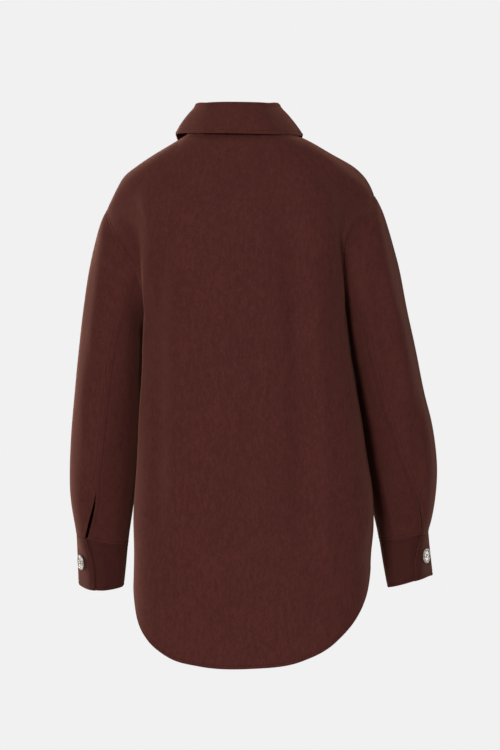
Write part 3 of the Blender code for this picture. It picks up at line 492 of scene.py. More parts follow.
def makeWool():
    look = woolLook
    material, place, shader = startMaterial("wool", {
        "Sheen Weight": look["sheen"], "Sheen Roughness": look["sheenRough"], "Sheen Tint": look["sheenTint"],
        "Specular IOR Level": look["gloss"], "Metallic": 0.0})
    # brushed nap, longer down the coat than across it, in clumps over a slow mottle
    brushed = place.make("ShaderNodeMapping", {}, {"Vector": place, "Scale": look["brushed"]})
    mottle = place.noise(look["mottleScale"], 3.0, 0.55)
    clumps = brushed.noise(look["clumpScale"], 4.0, 0.62)
    nap = brushed.noise(look["napScale"], 3.0, 0.6)
    fibre = place.noise(look["fibreScale"], 2.0, 0.55)
    part = look["tone"]
    tone = clumps * part["clumps"] + nap * part["nap"] + fibre * part["fibre"] + mottle * part["mottle"]
    colour = tone.ramp(*look["toneSpan"]).mix(look["deep"], look["light"])
    colour = colour.toward(look["main"], look["mainShare"])
    fleck = brushed.noise(look["fleckScale"], 1.0, 0.55).ramp(*look["fleckSpan"])
    colour = (fleck * look["fleckShare"]).mix(colour, look["fleck"])
    # pick stitches: dents a thread long, a stitch apart, on a line beside each edge
    line = 1.0 - place.math("ABSOLUTE", place.mark("fromEdge") - cloth["stitchIn"]).ramp(*look["stitchSpan"])
    beat = place.math("FRACT", place.mark("alongEdge") * cloth["stitchesPerMm"])
    dents = line * (1.0 - place.math("ABSOLUTE", beat - 0.5).ramp(*look["stitchEnds"]))
    # painted shade in the stitch dents: their colour is drawn toward the deep colour, beside the dents' bumps
    colour = (dents * look["stitchShadeShare"]).mix(colour, look["deep"])
    # painted shade: each piece is mixed toward the deep colour by its shade share, the under sleeves for the
    # shade the body casts on them and the cuffs for the shade on their inward-turned backs
    colour = place.mark("shade").mix(colour, look["deep"])
    part = look["raised"]
    height = nap * part["nap"] + fibre * part["fibre"] + clumps * part["clumps"] - dents * part["stitch"]
    rough, more = look["rough"]
    feed(shader, Base_Color=colour, Roughness=clumps * more + rough, Normal=height.bump(*look["bump"]))
    return material


hornLook = {"dark": (0.10, 0.095, 0.09), "grey": (0.33, 0.32, 0.31), "pale": (0.74, 0.72, 0.69),
            "darkAt": 0.38, "greyAt": 0.50, "paleAt": 0.62, "gloss": 0.5, "coat": 0.25, "coatRough": 0.08,
            "bandScale": 95.0, "veinScale": 210.0, "veinShare": 0.45, "rough": (0.18, 0.12)}


def makeHorn():
    # bands bent by their own noise, with finer veins over them
    look = hornLook
    material, place, shader = startMaterial("horn", {
        "Specular IOR Level": look["gloss"], "Coat Weight": look["coat"],
        "Coat Roughness": look["coatRough"]})
    bands = place.noise(look["bandScale"], 3.0, 0.5, 1.6)
    veins = place.noise(look["veinScale"], 4.0, 0.65, 3.2)
    stops = [(look[name + "At"], look[name]) for name in ("dark", "pale", "grey")]
    colour = place.make("ShaderNodeValToRGB", {"stops": stops},
                        {0: bands * (1 - look["veinShare"]) + veins * look["veinShare"]})
    rough, more = look["rough"]
    feed(shader, Base_Color=colour, Roughness=veins * more + rough)
    return material


threadLook = {"dark": (0.030, 0.012, 0.010), "light": (0.095, 0.038, 0.030), "twistScale": 2600.0,
              "span": (0.35, 0.65), "sheen": 0.3, "gloss": 0.3, "rough": (0.6, 0.2), "bump": (0.0002, 0.8)}


def makeThread():
    look = threadLook
    material, place, shader = startMaterial("button thread", {
        "Sheen Weight": look["sheen"], "Specular IOR Level": look["gloss"]})
    twist = place.noise(look["twistScale"])
    colour = twist.ramp(*look["span"]).mix(look["dark"], look["light"])
    rough, more = look["rough"]
    feed(shader, Base_Color=colour, Roughness=twist * more + rough, Normal=twist.bump(*look["bump"]))
    return material


wool, horn, thread = makeWool(), makeHorn(), makeThread()
print("materials made")


# rings down each sleeve: middle, half width and depth, squareness, turn, tilt and droop
sleeve = {
    "both": {
        "y":      [-8, -13, -18, -22, -27, -32, -37, -41, -44],
        "deep":   [68, 68, 66, 64, 62, 60, 57, 49, 40],
        "square": [2.2, 2.3, 2.4, 2.4, 2.4, 2.4, 2.4, 2.6, 2.8],
        "turn":   [0, 0, 0, 0, 0, 0, 0, 1, 4],
    },
    "left": {
        "x":      [179.5, 186, 190.5, 194.5, 198.5, 203, 206, 209.5, 209.5],
        "z":      [-212, -248, -288, -332, -382, -435, -490, -547, -599],
        "wide":   [34, 40.5, 45, 48, 51, 53, 52.5, 47, 39.5],
        "tilt":   [77, 58, 38, 22, 8, 1, -2, 3, 8],
        "droop":  [0, 0, 0, 0, 0, 0, 0, 2, 6],
    },
    "right": {
        "x":      [189, 199.5, 207.5, 217, 227, 236.5, 244, 246.5, 248.5],
        "z":      [-204, -246, -290, -337, -388, -435, -490, -545, -595],
        "wide":   [30.5, 37.5, 42.5, 47, 52, 54.5, 54, 48, 37.5],
        "tilt":   [88, 66, 45, 27, 12, 5, 0, 2, 6],
        "droop":  [0, 0, 0, 0, 0, 0, 0, 2, 4],
    },
}
sleeveKnots = [0.0, 0.13, 0.23, 0.33, 0.43, 0.54, 0.66, 0.78, 0.90, 1.0]
ringTurns = np.arange(0.0, 360.0, 15.0)


def sleevePoints(side, turn, t):
    # rings from the armhole to the cuff, read smoothly both ways
    places = np.linspace(0, 1, len(sleeve["both"]["y"]))
    rings = np.concatenate([armholePoints(side, ringTurns)[None],
                            ringPoints(sleeve, side, places, ringTurns)])
    turn = np.broadcast_to(turn, (len(t), np.shape(turn)[-1]))
    around = weights(ringTurns, turn, 360.0)
    grid = np.einsum("tr,rcx,tsc->tsx", weights(sleeveKnots, t), rings, around, optimize=True)
    rim = np.einsum("cx,tsc->tsx", rings[0], around)
    fade = np.clip(1 - np.asarray(t) / sleeveKnots[2], 0, 1)[:, None, None] ** 2
    return grid + fade * (armholePoints(side, turn) - rim)


def gridNormals(grid):
    # across product of the two steps, turned away from the middle of each row
    n = np.cross(np.gradient(grid, axis=1), np.gradient(grid, axis=0))
    n /= np.linalg.norm(n, axis=-1, keepdims=True) + tiny
    return n if (n * (grid - grid.mean(axis=1, keepdims=True))).sum() > 0 else -n


edgeLines = [0.0, 0.8, 1.8, 3.1, 4.2, 5.0, 5.8, 7.2, 9.5]      # beside an edge, for its roll and stitches


def placesFor(points, places, step):
    # where to read a surface, so that its lines lie close together beside each edge and evenly apart between;
    # the lengths between places are the means over some lines of points
    length = np.linalg.norm(np.diff(points, axis=1), axis=-1).mean(axis=0)
    run = np.concatenate([[0.0], np.cumsum(length)])
    whole, near = run[-1], edgeLines[-1]
    count = max(2, int(round((whole - 2 * near) / step)) + 1)
    middle = np.linspace(near, whole - near, count)
    spots = np.concatenate([edgeLines[:-1], middle, whole - np.array(edgeLines[-2::-1])])
    return np.interp(spots, run, places)


def lineLengths(grid, axis):
    # length from the first line to each point, along rows or columns
    step = np.linalg.norm(np.diff(grid, axis=axis), axis=-1)
    pad = [(0, 0), (0, 0)]
    pad[axis] = (1, 0)
    return np.cumsum(np.pad(step, pad), axis=axis)


def foldHeight(p, n, folds):
    # each fold is a line x of z: its height times a bell of the distance from it, and nothing past its ends;
    # one that faces a way lies only where the cloth faces that way along Y; a flaring one widens downwards
    total, z = np.zeros(p.shape[:-1]), p[..., 2]
    for levels, places, height, wide, ease, face, flare in folds:
        at = np.array(levels[::-1], float)
        x = readTable({"z": at, "x": places[::-1]}, ("x",), "z", np.clip(z, at[0], at[-1]))[..., 0]
        inside = smooth((z - at[0]) / ease) * smooth((at[-1] - z) / ease)
        if face:
            inside = inside * smooth(cloth["faceFrom"] + cloth["faceGain"] * face * n[..., 1])
        reach = wide * (1 + flare * (at[-1] - z) / (at[-1] - at[0]))
        total += height * inside * np.exp(-((p[..., 0] - x) / reach) ** 2)
    return total


def drift(p, seed, size):
    # slow unevenness of soft cloth: sines of different lengths and directions
    rng = np.random.default_rng(seed)
    total, lengths = np.zeros(p.shape[:-1]), cloth["driftLengths"]
    for length in lengths:
        way = rng.normal(size=3) * np.array(cloth["driftWay"])
        way /= np.linalg.norm(way)
        total += np.sin(math.tau * (p @ way) / length + rng.uniform(0, math.tau)) * length / lengths[0]
    return total * size


def clothWall(name, grid, spec, outward=None):
    # outer face with folds, rolled edges and grooves; inner face one thickness inside; a rim joins them
    n = gridNormals(grid)
    if outward is not None and (n * outward).sum() < 0:
        n = -n
    u, v = lineLengths(grid, 1), lineLengths(grid, 0)
    borders = {"start": (u, v), "end": (u[:, -1:] - u, v), "low": (v, u), "high": (v[-1:] - v, u)}
    sewn = spec.get("sewn", borders)
    stitched = [borders[border] for border in spec.get("stitched", borders)]
    roll = np.zeros(grid.shape[:2])
    for border, (gap, _) in borders.items():
        deep = cloth["seamRoll" if border in sewn else "roll"]
        roll = np.maximum(roll, deep * np.exp(-(gap / cloth["rollReach"]) ** 2))
    gaps = np.stack([gap for gap, _ in stitched])
    nearest, fromEdge = np.argmin(gaps, axis=0), gaps.min(axis=0)
    alongEdge = np.take_along_axis(np.stack([along for _, along in stitched]), nearest[None], axis=0)[0]
    # folds and drift fade out toward the sewn edges, so that neighbours still meet
    calm = smooth(np.stack([borders[border][0] for border in sewn]).min(axis=0) / spec["calm"])
    height = foldHeight(grid, n, spec.get("folds", ())) + drift(grid, spec["seed"], spec["drift"])
    soft = grid + n * (height * calm)[..., None]
    groove = cloth["stitchDeep"] * np.exp(-((fromEdge - cloth["stitchIn"]) / cloth["stitchWide"]) ** 2)
    puff = cloth["puff"] * np.exp(-((fromEdge - cloth["puffIn"]) / cloth["puffWide"]) ** 2)
    outer, inner = soft + n * (puff - roll - groove)[..., None], soft - n * cloth["thick"]
    # near a border the outer face grows toward its neighbour, and the inner face draws back from it
    for ends, axis in ((("start", "end"), 1), (("low", "high"), 0)):
        way = np.gradient(grid, axis=axis)
        way /= np.linalg.norm(way, axis=-1, keepdims=True) + tiny
        for border, sign in zip(ends, (1, -1)):
            ease = np.clip(1 - borders[border][0] / cloth["setbackReach"], 0, 1)[..., None]
            outer = outer + way * sign * ease * cloth["outerSetback"]
            inner = inner + way * sign * ease * cloth["innerSetback"]
    index = np.arange(roll.size).reshape(roll.shape)
    quad = np.stack([index[:-1, :-1], index[:-1, 1:], index[1:, 1:], index[1:, :-1]], axis=-1).reshape(-1, 4)
    faces = [quad, quad[:, ::-1] + index.size]
    for line in (index[0][::-1], index[-1], index[:, 0], index[::-1, -1]):
        twin = line + index.size
        faces.append(np.stack([line[:-1], line[1:], twin[1:], twin[:-1]], axis=-1))
    # the piece's shade share, a painted shade, is kept at every point for the wool's colour
    marks = {"fromEdge": np.tile(fromEdge.ravel(), 2), "alongEdge": np.tile(alongEdge.ravel(), 2),
             "shade": np.full(2 * index.size, spec.get("shade", 0.0))}
    points = np.concatenate([outer.reshape(-1, 3), inner.reshape(-1, 3)])
    return addPiece(name, points, np.concatenate(faces), wool, spec["nodes"], marks)


def turnedOut(points, faces):
    # the signed volume of the fans over all faces is negative when they point inwards
    p, fans = points[faces], range(1, faces.shape[1] - 1)
    volume = sum(np.einsum("ij,ij->", p[:, 0], np.cross(p[:, k], p[:, k + 1])) for k in fans)
    return faces if volume > 0 else faces[:, ::-1]


def addPiece(name, points, faces, material, nodes, marks=None):
    # one mesh in metres from points in millimetres, riding on the coat's only body
    faces = turnedOut(points, faces)
    mesh = bpy.data.meshes.new(name)
    mesh.vertices.add(len(points))
    mesh.vertices.foreach_set("co", (points * mm).astype(np.float32).ravel())
    mesh.loops.add(faces.size)
    mesh.loops.foreach_set("vertex_index", faces.astype(np.int32).ravel())
    mesh.polygons.add(len(faces))
    mesh.polygons.foreach_set("loop_start", np.arange(0, faces.size, faces.shape[1], dtype=np.int32))
    mesh.update(calc_edges=True)
    mesh.validate()
    mesh.shade_smooth()
    for mark, values in (marks or {}).items():
        mesh.attributes.new(mark, "FLOAT", "POINT").data.foreach_set("value", values.astype(np.float32))
    mesh.materials.append(material)
    piece = bpy.data.objects.new(name, mesh)
    bpy.context.scene.collection.objects.link(piece)
    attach(piece, "root")
    if nodes:
        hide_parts(*nodes)
    return piece


def ventRows(which, t, s):
    # rows across a panel, drawn in at the side seams where the vents open
    z = panelPoints(which, np.array([0.0, 1.0]), t)[:, 0, 2]
    spread = body["ventSpread"] * smooth((body["ventTop"] - z) / body["ventEase"]) / body["halfGirth"]
    shrink = spread[:, None] * (1 - np.clip(np.minimum(s, 1 - s) / body["ventReach"], 0, 1))
    return s + np.where(s < 0.5, shrink, -shrink)


def panelPlaces(which, low, high, step):
    # lines across and up a panel, close together beside its edges
    across, up = np.linspace(low, high, 161), np.linspace(0, 1, 161)
    s = placesFor(panelPoints(which, across, np.linspace(0.1, 0.9, 7)), across, step)
    some = low + (high - low) * np.array([0.3, 0.6, 0.9])
    t = placesFor(panelPoints(which, some, up).transpose(1, 0, 2), up, step)
    return s, t


# each fold: levels, places across at them, height, half width, eased length at its ends, facing, flare
back = {
    "nodes": ["back"], "sewn": ["start", "end", "high"], "seed": 3, "step": 4.6, "drift": 0.5, "calm": 28.0,
    "flat": (0.50, 0.86), "area": 0.35,
    "folds": [
        ([-95, -240, -430, -620], [78, 84, 86, 86], 6.0, 24, 100, 0, 0),
        ([-130, -300, -480, -640], [118, 121, 122, 122], -3.2, 13, 100, 0, 0),
        ([-110, -300, -520, -785], [18, 26, 30, 38], 3.2, 27, 130, 0, 0.21),
        ([-75, -200, -400, -660], [-68, -80, -90, -98], -8.5, 22, 120, 0, 0),
        ([-150, -330, -520, -680], [-112, -118, -124, -130], 2.6, 15, 100, 0, 0),
        ([-560, -660, -785], [78, 88, 98], 3.0, 20, 70, 0, 0),
        ([-420, -560, -780], [-34, -40, -48], 1.8, 17, 110, 0, 0),
        ([-190, -260, -330], [140, 124, 96], 1.2, 9, 50, 0, 0),
        ([-170, -235, -300], [-142, -128, -104], 1.2, 9, 50, 0, 0),
    ],
}
front = {
    "sewn": ["start", "high"], "seed": 11, "step": 4.8, "drift": 0.55, "calm": 28.0,
    "flat": (0.30, 0.83), "area": 0.19,
    "folds": [
        ([-150, -300, -480, -740], [92, 98, 104, 112], 2.6, 20, 110, 0, 0.175),
        ([-180, -330, -560, -720], [58, 62, 66, 72], -2.2, 16, 110, 0, 0),
        ([-170, -320, -520, -740], [-86, -94, -104, -112], 2.4, 22, 120, 0, 0),
        ([-210, -400, -700], [-52, -58, -64], -2.0, 15, 120, 0, 0),
        ([-175, -240, -330], [140, 118, 84], 1.8, 10, 60, 0, 0),
        ([-165, -230, -310], [-142, -120, -88], 1.8, 10, 60, 0, 0),
    ],
}


def makeBack():
    s, t = panelPlaces("back", 0.0, 1.0, back["step"])
    piece = clothWall("back_panel", panelPoints("back", ventRows("back", t, s), t), back)


def forwardNormals(grid):
    # normals that point forward beside the middle of the front
    n = gridNormals(grid)
    return n if n[len(n) // 2, -1, 1] < 0 else -n


def frontGrid(sideName, s, t):
    # the right front steps out over the left where they lap
    grid = panelPoints("front", ventRows("front", t, s), t)
    if sideName == "right":
        q = -np.interp(1 - s, frontKnots[3:8], frontNeck + [lapEnd])
        grid = grid + forwardNormals(grid) * (lapRise * lapOver(q))[None, :, None]
    return grid


def makeFronts():
    for sideName, side in sides.items():
        seam = 0.0 if side > 0 else 1.0
        s, t = panelPlaces("front", seam, float(frontPlace(side * lapEnd)), front["step"])
        spec = dict(front, nodes=["front_" + sideName], seed=front["seed"] + (side > 0))
        piece = clothWall("front_panel_" + sideName, frontGrid(sideName, s, t), spec)


sleeveSeams = {
    "backLeft": {"at": [0.0, 0.2, 0.34, 0.5, 0.66, 0.81, 0.9, 1.0],
                 "turn": [120, 107, 96, 89, 87, 82, 77, 54]},
    "backRight": {"at": [0.0, 0.2, 0.34, 0.54, 0.66, 0.78, 0.9, 1.0],
                  "turn": [120, 113, 109, 104, 97, 85, 62, 46]},
    "front": {"at": [0.0, 1.0], "turn": [240, 250]},
    "slit": {"left": 3.3, "right": 1.3}, "slitTop": 0.86, "slitWave": 0.62,
}
arm = {
    "step": 4.4, "drift": 0.6,
    # shade: share of painted shade in a part's colour; the under sleeve is darkened where the body shades it
    "top": {"flat": (0.25, 0.50), "area": 0.105, "shade": 0.0},
    "under": {"flat": (0.14, 0.44), "area": 0.056, "shade": 0.2},
    "leftFolds": [
        ([-95, -136, -172, -232, -268, -330], [193, 204, 207, 213, 217, 222], 2.6, 8, 40, 1, 0),
        ([-150, -220, -300, -360], [182, 184, 190, 198], -2.2, 11, 50, 1, 0),
        ([-330, -420, -520], [236, 234, 228], 2.0, 10, 60, 1, 0),
        ([-300, -380, -470], [212, 216, 214], -1.8, 9, 60, 1, 0),
        ([-420, -490, -580], [198, 216, 232], -2.0, 9, 45, 1, 0),
        ([-150, -260, -380], [196, 210, 222], 2.4, 10, 60, -1, 0),
        ([-280, -380, -500], [186, 194, 206], -2.2, 10, 60, -1, 0),
        ([-430, -500, -580], [186, 206, 228], 2.0, 9, 45, -1, 0),
    ],
    "rightFolds": [
        ([-90, -125, -155, -220, -287, -340, -410], [-201, -207, -213, -222, -240, -250, -257],
         2.6, 9, 45, 1, 0),
        ([-170, -250, -340, -400], [-196, -207, -222, -236], -2.2, 10, 55, 1, 0),
        ([-380, -450, -540], [-276, -284, -284], 2.0, 10, 55, 1, 0),
        ([-400, -480, -570], [-262, -268, -266], -2.2, 9, 55, 1, 0),
        ([-330, -420, -530], [-206, -218, -232], 1.8, 12, 60, 1, 0),
        ([-150, -260, -380], [-206, -222, -240], 2.4, 10, 60, -1, 0),
        ([-300, -400, -510], [-204, -216, -236], -2.2, 10, 60, -1, 0),
        ([-440, -510, -580], [-222, -244, -266], 2.0, 9, 45, -1, 0),
    ],
}


def makeSleeves(sideName):
    side, seams = sides[sideName], sleeveSeams

    def edges(part, t):
        # turns of the two edges of a part; below its top the slit parts them by a sine
        reach = np.clip((t - seams["slitTop"]) / (1 - seams["slitTop"]), 0, 1)[:, None]
        half = seams["slit"][sideName] * np.sin(reach * math.pi * seams["slitWave"])
        behind = readTable(seams["back" + sideName.capitalize()], ("turn",), "at", t)
        ahead = readTable(seams["front"], ("turn",), "at", t)
        return (ahead - 360.0, behind - half) if part == "top" else (behind + half, ahead)

    f, up, few = np.linspace(0, 1, 81), np.linspace(0, 1, 121), np.linspace(0.1, 0.9, 6)
    guide = sleevePoints(side, np.array([[20.0, 150.0, 330.0]]), up)
    t = placesFor(guide.transpose(1, 0, 2), up, arm["step"])
    shared = {"seed": 21 + int(side), "drift": arm["drift"], "folds": arm[sideName + "Folds"], "calm": 20.0}
    for part in ("top", "under"):
        start, end = edges(part, few)
        across = placesFor(sleevePoints(side, start + (end - start) * f, few), f, arm["step"])
        start, end = edges(part, t)
        grid = sleevePoints(side, start + (end - start) * across, t)
        outward = None if part == "top" else np.array([-side, 0.0, 0.0])
        spec = dict(shared, nodes=[part + "_sleeve_" + sideName], shade=arm[part]["shade"])
        piece = clothWall(f"{part}_sleeve_cloth_{sideName}", grid, spec, outward)


cuff = {
    "both": {"y": [-44, -45, -46], "deep": [40, 37, 35], "square": [2.8, 3.0, 3.2]},
    "left": {"x": [209.5, 210, 211], "z": [-599, -635, -671], "wide": [39.5, 34, 30], "turn": [4, 21, 27],
             "tilt": [8, 2, -4], "droop": [6, 6, 6]},
    "right": {"x": [248.5, 253, 258.5], "z": [-595, -630, -666], "wide": [37.5, 33, 30], "turn": [4, 21, 28],
              "tilt": [6, 7, 8], "droop": [4, 4, 4]},
    "edge": {"left": (54.0, 46.0), "right": (46.0, 49.0)}, "lap": 26.0,
    "buttonTurn": 13.0, "buttonDown": 0.53,
    # shade: painted shade, drawing the cuff's colour toward the deep colour for the shade on its backs
    "step": 3.0, "drift": 0.25, "flat": (0.26, 0.072), "area": 0.018, "shade": 0.55,
}


def cuffGrid(sideName, f, at):
    # one band once round, lapping over its start, where it steps in
    top, bottom = cuff["edge"][sideName]
    sweep = 360.0 + cuff["lap"]
    edge = (top + (bottom - top) * at)[:, None]
    grid = ringPoints(cuff, sides[sideName], at, edge - sweep + sweep * f[None, :])
    under = smooth(1 - np.clip(f[None, :] * sweep / cuff["lap"] - 1.0, 0, 1))
    return grid - gridNormals(grid) * (under * lapRise)[..., None]


def makeCuff(sideName):
    f, at = np.linspace(0, 1, 201), np.linspace(0, 1, 41)
    across = placesFor(cuffGrid(sideName, f, np.array([0.0, 0.5, 1.0])), f, cuff["step"])
    down = placesFor(cuffGrid(sideName, np.array([0.3, 0.6, 0.9]), at).transpose(1, 0, 2), at, cuff["step"])
    spec = dict(cuff, nodes=["cuff_" + sideName], seed=31 + len(sideName), sewn=["low"], calm=14.0)
    piece = clothWall("cuff_cloth_" + sideName, cuffGrid(sideName, across, down), spec)


collar = {
    "bandBulge": 0.4, "bandFlat": (0.46, 0.040), "bandArea": 0.016, "step": 3.2, "fallStep": 2.6,
    "bandRows": [0.0, 0.03, 0.07, 0.12, 0.16, 0.20, 0.26, 0.35, 0.5],
    "fallFlat": (0.52, 0.105), "fallArea": 0.030, "fallEnd": 0.452, "fallBulge": 3.0, "drift": 0.3,
    "roll": {"knot": [0.0, 0.07, 0.14, 0.19, 0.27], "out": [-2.5, -1.9, 0.6, 4.2, 6.6],
             "up": [0.4, 5.0, 8.2, 7.6, 3.2]},
    "drop": [0.28, 0.62, 1.0], "dropKnots": [0.46, 0.72, 1.0],
}
fallEdge = {
    "share":  [0.0, 0.3, 0.52, 0.66, 0.8, 1.0],
    "leftX":  [0, 58, 95, 97, 86, 60],
    "leftY":  [86, 72, 21, -22, -72, -121],
    "leftZ":  [5.5, 7, 10.5, 8, -18, -84],
    "rightX": [0, 58, 93, 95, 85, 60],
    "rightY": [86, 72, 23, -20, -72, -121],
    "rightZ": [5.5, 5.5, 7, 8, -18, -84],
}


def planOut(share):
    # level direction square to the collar's fold, away from the neck
    along = neckPoints("fold", share + 0.004) - neckPoints("fold", share - 0.004)
    out = np.stack([along[..., 1], -along[..., 0], 0 * along[..., 0]], axis=-1)
    out /= np.linalg.norm(out, axis=-1, keepdims=True)
    return out if out[0] @ neckPoints("fold", share)[0] > 0 else -out


def bandGrid(q, rows):
    # straight up from the panels' neck edges to the fold, rounding out a little
    rim = np.array([0.95, 0.975, 1.0])
    left = panelPoints("front", frontPlace(q[q > 0.25]), rim)[-1]
    middle = panelPoints("back", backPlace(q[np.abs(q) <= 0.25]), rim)[-1]
    right = frontPlace(q[q < -0.25])
    low = np.concatenate([left, middle, frontGrid("right", right, rim)[-1]])
    out = planOut(q)
    high = neckPoints("fold", q) + out * (lapOver(q) * lapRise)[:, None]
    f = rows[:, None, None]
    return low + (high - low) * f + out[None] * (4 * collar["bandBulge"] * f * (1 - f))


def fallGrid(f, at):
    # from inside the band over the roll, then down to the outer edge, rounding out on the way
    share = -f * collar["fallEnd"]
    out, up = planOut(share), np.array([0.0, 0.0, 1.0])
    start = neckPoints("fold", share) + out * (lapRise * lapOver(share))[:, None]
    ends = [readTable(fallEdge, (n + "X", n + "Y", n + "Z"), "share", np.abs(f)) * np.array([sides[n], 1, 1])
            for n in sides]
    edge = np.where((f < 0)[:, None], *ends)
    roll = collar["roll"]
    lines = [start + out * o + up * u for o, u in zip(roll["out"], roll["up"])]
    last = lines[-1]
    for k in collar["drop"]:
        lines.append(last + (edge - last) * k + out * collar["fallBulge"] * math.sin(math.pi * k))
    return np.einsum("tr,rsx->tsx", weights(roll["knot"] + collar["dropKnots"], at), np.array(lines))


def makeCollar():
    wide, half = np.linspace(lapEnd, -lapEnd, 201), collar["bandRows"]
    q = placesFor(bandGrid(wide, np.array([0.0, 0.5, 1.0])), wide, collar["step"])
    rows = np.array(half + [1 - row for row in half[-2::-1]])
    spec = dict(collar, nodes=["collar_band"], seed=41, sewn=["low", "high"], calm=10.0)
    band = clothWall("collar_band_cloth", bandGrid(q, rows), spec)
    f, at = np.linspace(-1, 1, 181), np.linspace(0, 1, 81)
    across = placesFor(fallGrid(f, np.array([0.5, 0.8, 1.0])), f, collar["step"])
    guide = fallGrid(np.array([-0.6, 0.1, 0.6]), at)
    down = placesFor(guide.transpose(1, 0, 2), at, collar["fallStep"])
    outward = planOut(-across * collar["fallEnd"])[None] * (down > 0.3)[:, None, None]
    spec = dict(collar, nodes=["collar_fall"], seed=43, sewn=["low"], calm=16.0,
                stitched=["start", "end", "high"])
    fall = clothWall("collar_fall_cloth", fallGrid(across, down), spec, outward)


button = {
    "frontRadius": 10.5, "cuffRadius": 11.5, "thick": 3.6, "count": 6, "top": -118.0, "low": -640.0,
    "lift": 0.4,
    "radius": [0.0, 0.30, 0.58, 0.66, 0.74, 0.83, 0.92, 0.985, 1.0, 0.985, 0.93, 0.84, 0.0],
    "height": [0.56, 0.57, 0.60, 0.66, 0.86, 0.985, 0.93, 0.70, 0.48, 0.26, 0.06, 0.0, 0.0],
    "faceEnd": 0.45, "holes": 4, "holeOut": 2.5, "holeRadius": 1.05, "holeDeep": 1.9, "holeEase": 0.4,
    "sides": 72, "rings": 96,
    "threadRadius": 0.42, "threadSides": 8, "threadRings": 17, "threadLow": -1.5, "threadRise": 2.1,
    "threadPower": 0.45,
}


def seat(grid, row, column, outward, radius):
    # middle of a button's back and the way it faces: clear of the highest cloth within its radius
    place, facing = grid[row, column], gridNormals(grid)[row, column]
    facing = facing if facing @ outward > 0 else -facing
    apart = (grid - place).reshape(-1, 3)
    height = apart @ facing
    square = (apart**2).sum(axis=-1)
    under = (square - height**2 < radius**2) & (square < 4 * radius**2)
    return place + facing * (height[under].max() + button["lift"]), facing


def buttonAxes(facing):
    # level and upright directions in the plane of a button
    across = np.cross(facing, [0.0, 0.0, 1.0])
    across /= np.linalg.norm(across)
    return across, np.cross(across, facing)


def makeButton(name, node, place, facing, radius, tilt):
    # a turned section with a sunk face and a rounded rim; each hole is a pit in the face
    ring = np.linspace(0, 1, button["rings"])
    section = np.stack([button["radius"], button["height"]], axis=-1) * np.array([radius, button["thick"]])
    run = np.concatenate([[0], np.cumsum(np.linalg.norm(np.diff(section, axis=0), axis=-1))])
    r, h = (weights(run / run[-1], ring) @ section).T
    r[0] = r[-1] = 0.0
    r = np.maximum(r, 0.0)
    a = math.tau * np.arange(button["sides"]) / button["sides"]
    x, y = r[1:-1, None] * np.cos(a), r[1:-1, None] * np.sin(a)
    holes = math.radians(tilt) + math.tau * (np.arange(button["holes"]) + 0.5) / button["holes"]
    face = (ring[1:-1] < button["faceEnd"])[:, None]
    h = np.repeat(h[:, None], button["sides"], axis=1)
    for hole in holes:
        away = np.hypot(x - button["holeOut"] * math.cos(hole), y - button["holeOut"] * math.sin(hole))
        pit = smooth((button["holeRadius"] - away) / button["holeEase"] + 0.5)
        h[1:-1] -= face * button["holeDeep"] * pit
    across, up = buttonAxes(facing)
    shell = place + x[..., None] * across + y[..., None] * up + h[1:-1, :, None] * facing
    points = np.concatenate([shell.reshape(-1, 3), [place + facing * h[0, 0], place + facing * h[-1, 0]]])
    index = np.arange(x.size).reshape(x.shape)
    turn = np.roll(index, -1, axis=1)
    faces = np.stack([index[:-1], turn[:-1], turn[1:], index[1:]], axis=-1).reshape(-1, 4)
    piece = addPiece(name, points, faces, horn, [node])
    closePoles(piece)
    ends = [place + button["holeOut"] * (math.cos(hole) * across + math.sin(hole) * up) for hole in holes]
    return [(ends[:2], facing), (ends[2:], facing)]


def closePoles(piece):
    # fans of triangles from the first and last rings to the two middle points
    mesh = bmesh.new()
    mesh.from_mesh(piece.data)
    mesh.verts.ensure_lookup_table()
    count, sidesRound = len(mesh.verts) - 2, button["sides"]
    for pole, ring in ((count, range(sidesRound)), (count + 1, range(count - sidesRound, count))):
        ring = list(ring)
        for k, n in zip(ring, ring[1:] + ring[:1]):
            mesh.faces.new((mesh.verts[k], mesh.verts[n], mesh.verts[pole]))
    bmesh.ops.recalc_face_normals(mesh, faces=mesh.faces)
    mesh.to_mesh(piece.data)
    mesh.free()
    piece.data.shade_smooth()


def makeThreads(spans):
    # each bar of thread is an arch from hole to hole: a tube whose middle rises by a sine
    points, faces, count = [], [], button["threadSides"]
    lengths, around = np.linspace(0, 1, button["threadRings"]), math.tau * np.arange(count) / count
    arch = button["threadRise"] * np.sin(math.pi * lengths) ** button["threadPower"]
    rise = button["thick"] * button["height"][0] + button["threadLow"] + arch
    for (start, end), facing in spans:
        middle = start + (end - start) * lengths[:, None] + facing * rise[:, None]
        way = np.gradient(middle, axis=0)
        way /= np.linalg.norm(way, axis=-1, keepdims=True)
        beside = np.cross((end - start) / np.linalg.norm(end - start), facing)
        out = np.cross(way, beside)
        tube = middle[:, None] + button["threadRadius"] * (
            np.cos(around)[None, :, None] * beside + np.sin(around)[None, :, None] * out[:, None])
        index = np.arange(tube.shape[0] * count).reshape(-1, count) + sum(len(p) for p in points)
        turn = np.roll(index, -1, axis=1)
        points.append(tube.reshape(-1, 3))
        faces.append(np.stack([index[:-1], turn[:-1], turn[1:], index[1:]], axis=-1).reshape(-1, 4))
        for cap in (index[0], index[-1][::-1]):
            faces.append(np.stack([cap[[0, 0, 0]], cap[[1, 3, 5]], cap[[2, 4, 6]], cap[[3, 5, 7]]], axis=-1))
    addPiece("button_threads", np.concatenate(points), np.concatenate(faces), thread, [])


